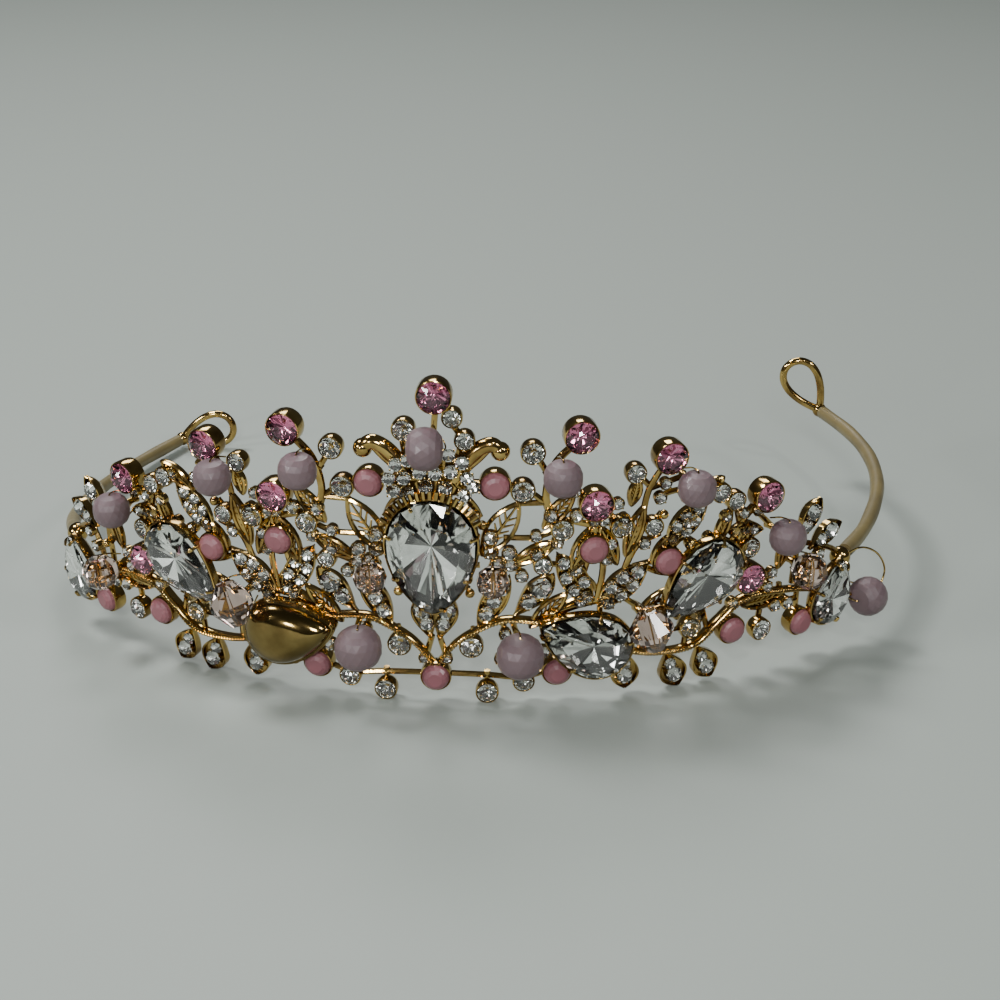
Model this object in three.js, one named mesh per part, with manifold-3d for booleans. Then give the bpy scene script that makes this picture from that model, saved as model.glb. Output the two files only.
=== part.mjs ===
// A wired stage tiara: a pierced gold front of vines, leaves and stone cups on a flared
// half-oval, beads on short posts in front of it, and two sleeved wire arms that end in loops.
// Millimetres, +Z up, the front faces -Y and the viewer's right is +X.
import * as THREE from 'three';
import { ConvexGeometry } from 'three/addons/geometries/ConvexGeometry.js';
import { mergeVertices } from 'three/addons/utils/BufferGeometryUtils.js';
import Module from 'manifold-3d';

const wasm = await Module();
wasm.setup();

// Panel: the flared half-oval that the front follows
const PANEL_HALF_WIDTH = 78.8;
const PANEL_DEPTH = 72.4;
const PANEL_FLARE = 4.8;
const PANEL_SPREAD = 48;
const PANEL_RISE = 50;

// Clearance between a stone and the metal that carries it
const GAP = 0.3;

// Metal
const VINE_RADIUS = 0.75;
const STEM_RADIUS = 0.5;
const CUP_WALL = 0.3;
const CUP_BACK = 0.8;
const LEAF_DEPTH = 1.2;
const LEAF_RIM = 0.55;
const LEAF_TUCK = 1.0;
const DROP_DEPTH = 2.0;
const POST_RADIUS = 0.8;
const KNOB_RADIUS = 0.9;
const HORN_RADIUS = 1.2;
const HORN_BALL_RADIUS = 1.5;
const TRAY_BACK = 0.9;
const TRAY_TAPER = 0.6;

// Edges shorter than this are closed up where pieces of metal meet
const MESH_TOLERANCE = 0.23;

// Stones: radius or half size, and how far the top and the back stand from the widest line
const LARGE_PEAR = { width: 13, length: 18 };
const MIDDLE_PEAR = { width: 10, length: 14.5 };
const SMALL_PEAR = { width: 8, length: 10.5 };
const PEAR_SIDES = 12;
const TRAY_SIDES = 9;
const PINK = { radius: 2.25, crown: 1.0, pavilion: 1.2, cupDepth: 3.0, sides: 10 };
const CAB = { radius: 2.0, crown: 1.3, pavilion: 0.6, cupDepth: 2.2, sides: 10 };
const CLEAR_RADIUS = 1.6;
const CLEAR_CUP_DEPTH = 2.2;
const CLEAR_CROWN = 0.7;
const PAVE_RADIUS = 0.9;
const PAVE_CROWN = 0.6;
const SMALL_BEAD = { radius: 2.85, half: 2.5 };
const CENTRE_BEAD = { radius: 3.15, half: 2.6 };
const LARGE_BEAD = { radius: 3.55, half: 3.05 };
const BICONE_RADIUS = 3.4;
const PEACH_RADIUS = 2.9;
const PEACH_SMALL_RADIUS = 2.5;
const BEAD_BACK = 1.8;

// Arms: bent wire in a soft sleeve, pushed into a collar on each end of the front
const WIRE_RADIUS = 0.6;
const SLEEVE_WALL = 0.4;
const SLEEVE_CLEARANCE = 0.2;
const COLLAR_RADIUS = 1.7;
const COLLAR_SIDE = 1.05;
const COLLAR_LIFT = 0.29;
const LOOP_POINTS = 14;
const ARM_HALF_WIDTH = 71;
const ARM_REACH_RIGHT = 70.5;
const ARM_REACH_LEFT = 79;
const LOOP_LENGTH = 11.5;
const LOOP_WIDTH = 7.5;
const LOOP_TURN_RIGHT = 58;
const LOOP_TURN_LEFT = 18;
const LEFT_PINCH_HEIGHT = 1.85;

const GOLD = { color: 0xcfa545, roughness: 0.25, metalness: 1.0 };
const FINISH = {
  gold: GOLD,
  crystal: { color: 0xd9e2e2, roughness: 0.05, metalness: 0.3 },
  pink: { color: 0xc2457c, roughness: 0.08, metalness: 0.2 },
  peach: { color: 0xe9c4b4, roughness: 0.08, metalness: 0.1 },
  cabochon: { color: 0xd08a98, roughness: 0.35, metalness: 0.0 },
  mauve: { color: 0xb9a0b8, roughness: 0.3, metalness: 0.0 },
  sleeve: { color: 0xbcae83, roughness: 0.45, metalness: 0.0 },
};

// Every place on the front is [side, lift]: shares of PANEL_SPREAD and PANEL_RISE. A mirrored
// row stands on both sides of the middle, and left is its place on the left where that differs.

const PEARS = [
  { name: 'centre', side: 0, lift: 0.514, turn: 0, size: LARGE_PEAR },
  { name: 'upper', side: 0.592, lift: 0.374, turn: -50, size: MIDDLE_PEAR, mirrored: true },
  { name: 'lower_right', side: 0.33, lift: 0.21, turn: -116, size: MIDDLE_PEAR },
  { name: 'lower_left', side: -0.325, lift: 0.22, turn: 104, size: MIDDLE_PEAR, metal: true },
  { name: 'end', side: 0.993, lift: 0.205, turn: 165, size: SMALL_PEAR, mirrored: true },
];

const PINK_STONES = [
  { name: 'top', side: 0.01, lift: 1.01 },
  { name: 'inner', side: 0.308, lift: 0.88, mirrored: true },
  { name: 'middle', side: 0.503, lift: 0.79, mirrored: true },
  { name: 'outer', side: 0.755, lift: 0.61, mirrored: true },
  { name: 'low', side: 0.345, lift: 0.66, mirrored: true },
  { name: 'vine', side: 0.728, lift: 0.34, mirrored: true },
];

const CABOCHONS = [
  { name: 'foot', side: 0, lift: 0.09 },
  { name: 'crown', side: 0.132, lift: 0.73, mirrored: true },
  { name: 'heart', side: 0.345, lift: 0.51, mirrored: true },
  { name: 'shoulder', side: 0.517, lift: 0.445, mirrored: true },
  { name: 'vine', side: 0.696, lift: 0.165, mirrored: true },
  { name: 'end', side: 0.905, lift: 0.125, mirrored: true },
  { name: 'base', side: 0.272, lift: 0.104, mirrored: true },
];

const BEADS = [
  { name: 'mauve_centre', side: -0.005, lift: 0.878, size: CENTRE_BEAD, across: true },
  { name: 'mauve_inner', side: 0.265, lift: 0.78, size: SMALL_BEAD, mirrored: true },
  { name: 'mauve_middle', side: 0.547, lift: 0.71, mirrored: true, left: [-0.461, 0.72], size: SMALL_BEAD },
  { name: 'mauve_outer', side: 0.786, lift: 0.49, mirrored: true, left: [-0.761, 0.52], size: SMALL_BEAD },
  { name: 'mauve_large', side: 0.184, lift: 0.21, mirrored: true, left: [-0.156, 0.222], size: LARGE_BEAD },
  { name: 'mauve_end', side: 1.082, lift: 0.175, size: CENTRE_BEAD, across: true },
];

const PEACH_STONES = [
  {
    name: 'peach_bicone', side: 0.456, lift: 0.283, mirrored: true, left: [-0.428, 0.33],
    radius: BICONE_RADIUS, bicone: true, proud: 0.4,
  },
  { name: 'peach_inner', side: 0.127, lift: 0.45, mirrored: true, radius: PEACH_SMALL_RADIUS },
  {
    name: 'peach_outer', side: 0.861, lift: 0.35, mirrored: true, left: [-0.838, 0.275],
    radius: PEACH_RADIUS,
  },
];

// Clear stones in cups of their own, fused to the front; size is a share of CLEAR_RADIUS
const CLEAR_CUPS = [
  { side: -0.055, lift: 0.9, size: 1 },
  { side: 0.045, lift: 0.94, size: 0.85 },
  { side: 0.07, lift: 0.87, size: 0.85 },
  { side: 0.21, lift: 0.83, size: 1.05, mirrored: true },
  { side: 0.19, lift: 0.71, size: 1.05, mirrored: true },
  { side: 0.08, lift: 0.195, size: 1.05, mirrored: true },
  { side: 0.115, lift: 0.036, size: 1, mirrored: true },
  { side: 0.197, lift: 0.072, size: 0.95, mirrored: true },
  { side: 0.405, lift: 0.575, size: 1, mirrored: true },
  { side: 0.43, lift: 0.745, size: 0.9, mirrored: true },
  { side: 0.478, lift: 0.565, size: 0.85, mirrored: true },
  { side: 0.275, lift: 0.58, size: 1, mirrored: true },
  { side: 0.235, lift: 0.465, size: 0.8, mirrored: true },
  { side: 0.635, lift: 0.645, size: 0.9, mirrored: true },
  { side: 0.675, lift: 0.61, size: 0.9, mirrored: true },
  { side: 0.725, lift: 0.44, size: 0.95, mirrored: true },
  { side: 0.782, lift: 0.14, size: 1.05, mirrored: true },
  { side: 0.585, lift: 0.2, size: 1, mirrored: true },
];

// Leaves run from a root to a tip. A blade is plain, an open leaf is pierced, a set leaf
// carries a row of small stones; width is in shares of the leaf's own length.
const LEAVES = [
  { root: [0.105, 0.5], tip: [0.178, 0.66], width: 0.42, stones: 2 },
  { root: [0.172, 0.47], tip: [0.265, 0.54], width: 0.3, open: true },
  { root: [0.178, 0.28], tip: [0.27, 0.45], width: 0.4, open: true },
  { root: [0.095, 0.25], tip: [0.165, 0.465], width: 0.38, open: true },
  { root: [0.36, 0.36], tip: [0.27, 0.52], width: 0.4, stones: 2 },
  { root: [0.36, 0.35], tip: [0.46, 0.45], width: 0.46, stones: 2 },
  { root: [0.418, 0.48], tip: [0.458, 0.64], width: 0.28, open: true },
  { root: [0.5, 0.53], tip: [0.6, 0.64], width: 0.46, stones: 2 },
  { root: [0.636, 0.47], tip: [0.668, 0.58], width: 0.3 },
  { root: [0.66, 0.51], tip: [0.755, 0.535], width: 0.5, stones: 2 },
  { root: [0.875, 0.4], tip: [0.925, 0.55], width: 0.42, stones: 2 },
  { root: [0.92, 0.37], tip: [1.01, 0.45], width: 0.44, stones: 2 },
  { root: [0.725, 0.235], tip: [0.85, 0.235], width: 0.3 },
  { root: [0.008, 0.21], tip: [0.036, 0.36], width: 0.42, stones: 2 },
];

// Leaf-shaped drops under the vines, each from its hanging point to its tip
const DROPS = [
  { root: [0.43, 0.15], tip: [0.405, 0.03] },
  { root: [0.515, 0.135], tip: [0.553, 0] },
  { root: [0.595, 0.135], tip: [0.64, 0.02] },
];
const DROP_WIDTH = 0.62;
const DROP_STONES = 1;

const VINES = [
  { points: [[0, 0.12], [0.045, 0.2], [0.085, 0.24], [0.15, 0.28], [0.24, 0.27]], steps: 6 },
  {
    points: [[0.4, 0.16], [0.5, 0.13], [0.6, 0.135], [0.66, 0.2], [0.725, 0.26], [0.86, 0.25], [0.975, 0.21]],
    steps: 9,
  },
];

// Smooth stems; each runs from the piece it carries to the piece that carries it
const STEMS = [
  [[0.01, 0.96], [0, 0.8]],
  [[0.028, 0.94], [0.06, 0.87], [0.05, 0.78]],
  [[-0.055, 0.9], [-0.06, 0.86], [-0.05, 0.78]],
  [[0.132, 0.73], [0.06, 0.73]],
  [[-0.132, 0.73], [-0.06, 0.73]],
  [[1.082, 0.175], [1.05, 0.29]],
];
const MIRRORED_STEMS = [
  [[0.308, 0.86], [0.255, 0.78], [0.24, 0.66], [0.27, 0.58]],
  [[0.21, 0.83], [0.24, 0.76]],
  [[0.27, 0.765], [0.235, 0.75]],
  [[0.132, 0.73], [0.19, 0.71], [0.24, 0.66]],
  [[0.503, 0.77], [0.465, 0.68], [0.45, 0.56], [0.42, 0.43]],
  [[0.43, 0.745], [0.468, 0.69]],
  [[0.755, 0.6], [0.7, 0.52], [0.69, 0.42]],
  [[0.345, 0.65], [0.3, 0.61], [0.275, 0.58], [0.224, 0.55], [0.15, 0.55]],
  [[0.728, 0.34], [0.745, 0.26]],
  [[0.345, 0.51], [0.33, 0.43]],
  [[0.517, 0.445], [0.44, 0.43]],
  [[0.905, 0.125], [0.9, 0.25]],
  [[0.115, 0.036], [0.115, 0.1]],
  [[0.08, 0.195], [0.085, 0.25]],
  [[0.478, 0.565], [0.45, 0.56]],
  [[0.272, 0.104], [0.27, 0.2]],
  [[0, 0.09], [0.115, 0.085], [0.197, 0.075], [0.272, 0.104]],
  [[0.405, 0.575], [0.43, 0.5]],
  [[0.235, 0.465], [0.3, 0.44], [0.36, 0.36], [0.37, 0.22]],
  [[0.178, 0.66], [0.235, 0.66]],
  [[0.24, 0.5], [0.178, 0.46], [0.1, 0.5]],
  [[0.5, 0.53], [0.45, 0.5], [0.42, 0.42]],
  [[0.635, 0.645], [0.675, 0.61], [0.7, 0.52]],
  [[0.66, 0.51], [0.65, 0.46]],
  [[0.725, 0.44], [0.7, 0.5]],
  [[0.782, 0.14], [0.79, 0.25]],
  [[0.585, 0.2], [0.58, 0.13]],
  [[0.755, 0.535], [0.82, 0.45], [0.875, 0.4], [0.88, 0.26]],
  [[0.861, 0.35], [0.877, 0.33]],
  [[0.838, 0.275], [0.84, 0.25]],
  [[0.875, 0.4], [0.93, 0.38], [1.05, 0.29], [0.98, 0.2]],
  [[0.42, 0.33], [0.46, 0.28], [0.47, 0.22], [0.47, 0.14]],
  [[0.46, 0.43], [0.5, 0.4], [0.56, 0.38]],
  [[0.184, 0.21], [0.17, 0.275]],
  [[0.156, 0.222], [0.15, 0.27]],
  [[0.13, 0.435], [0.15, 0.42]],
  [[0.1, 0.62], [0.03, 0.57], [0.105, 0.5]],
  [[0.075, 0.38], [0.015, 0.45], [0.1, 0.46]],
  [[0.33, 0.1], [0.33, 0.21], [0.42, 0.155]],
  [[0.592, 0.374], [0.64, 0.17]],
  [[0.008, 0.22], [0.02, 0.16]],
  [[0.547, 0.71], [0.465, 0.68]],
  [[0.79, 0.49], [0.755, 0.535]],
];

const KNOBS = [
  { side: 0.1, lift: 0.62 },
  { side: 0.075, lift: 0.38 },
  { side: 0.33, lift: 0.1 },
];

const HORN = [[0.035, 0.74], [0.065, 0.81], [0.09, 0.85], [0.125, 0.86]];

// The stones in the fan over the centre pear
const FAN_STONES = [[0, 0.8], [-0.035, 0.78], [0.035, 0.78], [-0.06, 0.73], [0.06, 0.73], [0, 0.73]];

// The route of an arm behind its collar, in shares of its reach and of ARM_HALF_WIDTH
const ARM_ROUTE = [
  { back: 0.17, side: 0.937 },
  { back: 0.42, side: 0.99 },
  { back: 0.63, side: 0.993 },
  { back: 0.81, side: 0.96 },
  { back: 1, side: 0.89 },
];

// The largest value of sin t sin(t/2), where a teardrop is widest
const FULLEST = 0.77;

const degrees = THREE.MathUtils.degToRad;

/** The frame of a place on the panel: local x across, y up and z out towards the viewer. */
function panelFrame([side, lift], out = 0) {
  const angle = degrees(side * PANEL_SPREAD);
  const slope = Math.tan(degrees(PANEL_FLARE));
  const height = lift * PANEL_RISE;
  const halfWidth = PANEL_HALF_WIDTH + height * slope;
  const depth = PANEL_DEPTH + height * slope;
  const point = new THREE.Vector3(halfWidth * Math.sin(angle), -depth * Math.cos(angle), height);
  const across = new THREE.Vector3(halfWidth * Math.cos(angle), depth * Math.sin(angle), 0).normalize();
  const lean = new THREE.Vector3(slope * Math.sin(angle), -slope * Math.cos(angle), 1);
  const outward = new THREE.Vector3().crossVectors(across, lean).normalize();
  const up = new THREE.Vector3().crossVectors(outward, across);
  point.addScaledVector(outward, out);
  return new THREE.Matrix4().makeBasis(across, up, outward).setPosition(point);
}

/** The point of a place on the panel. */
function panelPoint(place, out = 0) {
  return new THREE.Vector3().setFromMatrixPosition(panelFrame(place, out));
}

/** A row as it stands, or a row and its mirror image, each with its name's ending. */
function bothSides(row) {
  if (!row.mirrored) return [{ ...row, label: row.name }];
  const [side, lift] = row.left ?? [-row.side, row.lift];
  const twin = { ...row, side, lift, turn: -(row.turn ?? 0), label: `${row.name}_left` };
  return [{ ...row, label: `${row.name}_right` }, twin];
}

const mirrorPlace = ([side, lift]) => [-side, lift];

/** A geometry as a solid for joining and cutting. */
function toSolid(geometry) {
  const skin = new THREE.BufferGeometry();
  skin.setAttribute('position', geometry.attributes.position);
  if (geometry.index) skin.setIndex(geometry.index);
  const merged = mergeVertices(skin, 1e-4);
  const mesh = new wasm.Mesh({
    numProp: 3,
    vertProperties: new Float32Array(merged.attributes.position.array),
    triVerts: new Uint32Array(merged.index.array),
  });
  return new wasm.Manifold(mesh);
}

/** A solid's surface as a geometry again. */
function toGeometry(solid) {
  const mesh = solid.getMesh();
  const geometry = new THREE.BufferGeometry();
  geometry.setAttribute('position', new THREE.Float32BufferAttribute(mesh.vertProperties, 3));
  geometry.setIndex(new THREE.Uint32BufferAttribute(mesh.triVerts, 1));
  return geometry;
}

/** A turned shape whose axis points out of the panel; the profile is [radius, out] pairs. */
function turned(profile, sides) {
  const points = profile.map(([radius, out]) => new THREE.Vector2(radius, out));
  return new THREE.LatheGeometry(points, sides).rotateX(Math.PI / 2).rotateZ(Math.PI / sides);
}

/**
 * A pear outline, round end up and point down: the teardrop x = w/2 sin t sin(t/2), y = -l/2 cos t,
 * with x divided by its own largest value.
 */
function pearOutline(width, length, grow = 0, sides = PEAR_SIDES) {
  const outline = [];
  for (let i = 0; i < sides; i += 1) {
    const turn = (2 * Math.PI * i) / sides;
    const x = ((width / 2 + grow) * Math.sin(turn) * Math.sin(turn / 2)) / FULLEST;
    outline.push(new THREE.Vector2(x, -(length / 2 + grow) * Math.cos(turn)));
  }
  return outline;
}

/** A convex solid through scaled copies of an outline; each level is [scale, out]. */
function cut(outline, levels) {
  const points = [];
  for (const [scale, out] of levels) {
    for (const { x, y } of outline) points.push(new THREE.Vector3(x * scale, y * scale, out));
  }
  return new ConvexGeometry(points);
}

/** A round wire or sleeve along a curve. */
function tube(curve, radius, sides, steps, bore = 0) {
  const ring = (size) => {
    const corners = [];
    for (let i = 0; i < sides; i += 1) {
      const angle = (2 * Math.PI * i) / sides;
      corners.push(new THREE.Vector2(size * Math.cos(angle), size * Math.sin(angle)));
    }
    return corners;
  };
  const section = new THREE.Shape(ring(radius));
  if (bore > 0) section.holes.push(new THREE.Path(ring(bore)));
  return new THREE.ExtrudeGeometry(section, { steps, extrudePath: curve, bevelEnabled: false });
}

/** A wire on the panel through a row of places. */
function panelWire(places, radius, sides, steps, out = 0) {
  const points = places.map((place) => panelPoint(place, out));
  return tube(new THREE.CatmullRomCurve3(points, false, 'centripetal'), radius, sides, steps);
}

/** A smooth stem: straight between two places, bent through more. */
function stem(places) {
  const stretches = places.length - 1;
  return panelWire(places, STEM_RADIUS, 4, stretches > 1 ? 2 * stretches : 1);
}

/** The stone that a deep cup holds, with its widest line at out = 0. */
function roundStone({ radius, crown, pavilion, sides }) {
  return turned([[0, -pavilion], [radius, -0.3], [radius, 0.3], [radius * 0.6, crown], [0, crown]], sides);
}

/** A smooth dome with a flat back, its edge at out = 0. */
function cabochon({ radius, crown, pavilion, sides }) {
  const shoulder = [radius * 0.7, crown * 0.8];
  return turned([[0, -pavilion], [radius, -pavilion], [radius, 0.2], shoulder, [0, crown]], sides);
}

/** The cup round such a stone, open to the front. */
function cup({ radius, pavilion, cupDepth }, sides = 8) {
  const inner = radius + GAP;
  const outer = inner + CUP_WALL;
  const floor = -pavilion - GAP;
  const outside = [[0, -cupDepth], [outer, -cupDepth + CUP_BACK], [outer, 0]];
  return turned([...outside, [inner, 0], [inner, floor], [0, floor]], sides);
}

/** How far out the widest line of a cup's stone stands, with the cup's back at the stems. */
const stoneOut = ({ cupDepth }) => cupDepth - CUP_BACK;

/** A small clear stone fused into its cup. */
function clearCup(size) {
  const radius = CLEAR_RADIUS * size;
  const rim = CLEAR_CUP_DEPTH - CUP_BACK;
  const table = rim + CLEAR_CROWN;
  return turned([[0, -CUP_BACK], [radius + CUP_WALL / 2, rim], [radius * 0.6, table], [0, table]], 8);
}

/** A small set stone, eight-sided with a table, that stands on a leaf. */
function paveStone(base) {
  const stone = new THREE.CylinderGeometry(PAVE_RADIUS * 0.55, PAVE_RADIUS, PAVE_CROWN + base, 8);
  return stone.rotateX(Math.PI / 2).translate(0, 0, (PAVE_CROWN + base) / 2);
}

/** The frame of a leaf: local y runs from its root to its tip, z points out. */
function leafFrame(root, tip, out) {
  const middle = panelFrame([(root[0] + tip[0]) / 2, (root[1] + tip[1]) / 2], out);
  const start = panelPoint(root, out);
  const along = panelPoint(tip, out).sub(start);
  const length = along.length();
  const outward = new THREE.Vector3().setFromMatrixColumn(middle, 2);
  const across = new THREE.Vector3().crossVectors(along.normalize(), outward).normalize();
  outward.crossVectors(across, along);
  return { frame: new THREE.Matrix4().makeBasis(across, along, outward).setPosition(start), length };
}

/** A pointed leaf outline, its foot tucked under the stem at the root, its tip at y = length. */
function leafOutline(length, width, inset, PathType) {
  const outline = new PathType();
  const bulge = width - 2 * inset;
  const foot = inset > 0 ? 2 * inset : -LEAF_TUCK;
  outline.moveTo(0, foot);
  outline.quadraticCurveTo(bulge, length * 0.5, 0, length - 2 * inset);
  outline.quadraticCurveTo(-bulge, length * 0.5, 0, foot);
  return outline;
}

/** One leaf with its small stones, as placed geometries. */
function leaf({ root, tip, width, stones = 0, open = false }, depth = LEAF_DEPTH) {
  const { frame, length } = leafFrame(root, tip, 0);
  const shape = leafOutline(length, width * length, 0, THREE.Shape);
  if (open) shape.holes.push(leafOutline(length, width * length, LEAF_RIM, THREE.Path));
  const plate = new THREE.ExtrudeGeometry(shape, { depth, bevelEnabled: false, curveSegments: open ? 3 : 4 });
  const pieces = [plate.translate(0, 0, -depth / 4)];
  for (let i = 0; i < stones; i += 1) {
    const share = (i + 1) / (stones + 1);
    pieces.push(paveStone(depth * 0.75).translate(0, length * share, 0));
  }
  return pieces.map((piece) => piece.applyMatrix4(frame));
}

/** The tray behind a pear, open to the front; out is where the pear's widest line stands. */
function pearTray(row, out) {
  const { width, length } = row.size;
  const floor = -pearPavilion(row) - GAP;
  const rim = pearOutline(width, length, GAP + CUP_WALL, TRAY_SIDES);
  const body = toSolid(cut(rim, [[TRAY_TAPER, floor - TRAY_BACK], [1, -0.5]]));
  const hollow = toSolid(cut(pearOutline(width, length, GAP, TRAY_SIDES), [[0.5, floor], [1, -0.5], [1, 1]]));
  const place = panelFrame([row.side, row.lift], out).multiply(turnInPanel(row));
  return toGeometry(body.subtract(hollow)).applyMatrix4(place);
}

/** A piece's turn in the plane of the panel. */
const turnInPanel = ({ turn = 0 }) => new THREE.Matrix4().makeRotationZ(degrees(turn));

/** Half the depth of a pear's pointed back. */
const pearPavilion = ({ size }) => size.width * 0.17;

/** How far out a pear's widest line stands. */
const pearOut = (row) => pearPavilion(row) + GAP + TRAY_BACK;

/** A faceted pear, or a plain domed one. */
function pear(row) {
  const { width, length } = row.size;
  const outline = pearOutline(width, length);
  const back = -pearPavilion(row);
  const crown = width * 0.15;
  const levels = row.metal
    ? [[0.3, back], [1, -0.3], [0.97, 0.5], [0.7, crown], [0.3, crown * 1.3]]
    : [[0.12, back], [1, -0.3], [1, 0.3], [0.62, crown]];
  const place = panelFrame([row.side, row.lift], pearOut(row));
  return cut(outline, levels).applyMatrix4(place.multiply(turnInPanel(row)));
}

/** A faceted bead turned round its bore, which lies in the panel. */
function bead({ radius, half }, across) {
  const profile = [[0, -half], [radius * 0.55, -half], [radius, -half * 0.35], [radius, half * 0.35],
    [radius * 0.55, half], [0, half]].map(([x, y]) => new THREE.Vector2(x, y));
  const shape = new THREE.LatheGeometry(profile, 10);
  return across ? shape.rotateZ(Math.PI / 2) : shape;
}

/** A clear peach bead: two cones base to base, or a cut round. */
function peachBead({ radius, bicone }) {
  const half = bicone ? radius : radius * 0.85;
  const end = bicone ? radius * 0.3 : radius * 0.6;
  const profile = [[0, -half], [end, -half], [radius, 0], [end, half], [0, half]];
  return new THREE.LatheGeometry(profile.map(([x, y]) => new THREE.Vector2(x, y)), 10);
}

/** How far out a bead's middle stands; proud is a share of its radius. */
const beadOut = (radius, proud = 0) => BEAD_BACK + radius * (1 + proud);

/** The post behind a bead, from the stems to just short of the bead. */
function post(place, proud) {
  const top = BEAD_BACK + proud - GAP;
  const height = top + STEM_RADIUS;
  const peg = new THREE.CylinderGeometry(POST_RADIUS, POST_RADIUS, height, 5).rotateX(Math.PI / 2);
  return peg.translate(0, 0, top - height / 2).applyMatrix4(panelFrame(place));
}

/** The fan-shaped plate over the centre pear and its stones. */
function fan() {
  const corners = [[-0.085, 0.72], [-0.05, 0.82], [0, 0.85], [0.05, 0.82], [0.085, 0.72], [0, 0.69]];
  const points = corners.flatMap((place) => [panelPoint(place, -0.4), panelPoint(place, 0.9)]);
  const stones = FAN_STONES.map((place) => paveStone(1).applyMatrix4(panelFrame(place)));
  return [new ConvexGeometry(points), ...stones];
}

/** A horn that curls out of the fan, with its ball end. */
function horn(mirror) {
  const places = HORN.map((place) => mirror(place));
  const ball = new THREE.SphereGeometry(HORN_BALL_RADIUS, 8, 5).applyMatrix4(panelFrame(places.at(-1), 0.6));
  return [panelWire(places, HORN_RADIUS, 6, 4, 0.6), ball];
}

/** The curve of one arm from its collar to the pinch of its loop; hand is +1 or -1. */
function armCurve(hand) {
  const start = panelPoint([hand * COLLAR_SIDE, COLLAR_LIFT]);
  const reach = hand > 0 ? ARM_REACH_RIGHT : ARM_REACH_LEFT;
  const endHeight = hand > 0 ? start.z : LEFT_PINCH_HEIGHT;
  const points = [start];
  for (const { back, side } of ARM_ROUTE) {
    const height = THREE.MathUtils.lerp(start.z, endHeight, 1 - (1 - back) ** 2);
    points.push(new THREE.Vector3(hand * side * ARM_HALF_WIDTH, start.y + back * reach, height));
  }
  return new THREE.CatmullRomCurve3(points, false, 'centripetal');
}

/** A stretch of a curve between two lengths along it. */
function stretch(curve, from, to, count) {
  const whole = curve.getLength();
  const points = [];
  for (let i = 0; i <= count; i += 1) {
    points.push(curve.getPointAt(THREE.MathUtils.lerp(from, to, i / count) / whole));
  }
  return new THREE.CatmullRomCurve3(points);
}

/** The teardrop loop at the end of an arm: it stands upright, faces the front and leans inwards. */
function loopCurve(pinch, hand) {
  const lean = degrees(hand > 0 ? LOOP_TURN_RIGHT : LOOP_TURN_LEFT);
  const along = new THREE.Vector3(-hand * Math.cos(lean), 0, Math.sin(lean));
  const across = new THREE.Vector3(hand * Math.sin(lean), 0, Math.cos(lean));
  const points = [];
  for (let i = 1; i < LOOP_POINTS; i += 1) {
    const turn = Math.PI - (2 * Math.PI * i) / LOOP_POINTS;
    const reach = (LOOP_LENGTH - WIRE_RADIUS) * (1 + Math.cos(turn)) / 2;
    const swell = ((LOOP_WIDTH / 2 - WIRE_RADIUS) * Math.sin(turn) * Math.cos(turn / 2)) / FULLEST;
    points.push(pinch.clone().addScaledVector(along, reach).addScaledVector(across, swell));
  }
  return new THREE.CatmullRomCurve3(points);
}

/** The wire of an arm: its straight run, its loop and the ball where the loop closes. */
function armWire(hand) {
  const curve = armCurve(hand);
  const end = curve.getPointAt(1);
  const run = tube(stretch(curve, GAP, curve.getLength(), 10), WIRE_RADIUS, 6, 10);
  const loop = tube(loopCurve(end, hand), WIRE_RADIUS, 6, 12);
  const pinch = new THREE.SphereGeometry(WIRE_RADIUS * 2, 8, 5).translate(end.x, end.y, end.z);
  return joined([run, loop, pinch]);
}

/** The sleeve over an arm's wire, from just behind its collar to just before the loop. */
function armSleeve(hand) {
  const curve = armCurve(hand);
  const bore = WIRE_RADIUS + SLEEVE_CLEARANCE;
  const run = stretch(curve, COLLAR_RADIUS + GAP, curve.getLength() - 2 * WIRE_RADIUS - GAP, 10);
  return tube(run, bore + SLEEVE_WALL, 7, 10, bore);
}

/** A collar ball on the end of the front, before the bore for the arm's wire is cut. */
function collar(hand) {
  return new THREE.SphereGeometry(COLLAR_RADIUS, 8, 6).translate(...armCurve(hand).getPointAt(0).toArray());
}

/** The bore in a collar. */
function collarBore(hand) {
  return toSolid(tube(stretch(armCurve(hand), 0, COLLAR_RADIUS * 2, 4), WIRE_RADIUS + GAP, 6, 2));
}

/** One geometry from many that touch. */
function joined(geometries) {
  return toGeometry(wasm.Manifold.union(geometries.map(toSolid)));
}

/** A solid without the small sealed pockets where pieces of metal meet. */
function filled(solid) {
  return wasm.Manifold.union(solid.decompose().filter((shell) => shell.volume() > 0));
}

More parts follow.
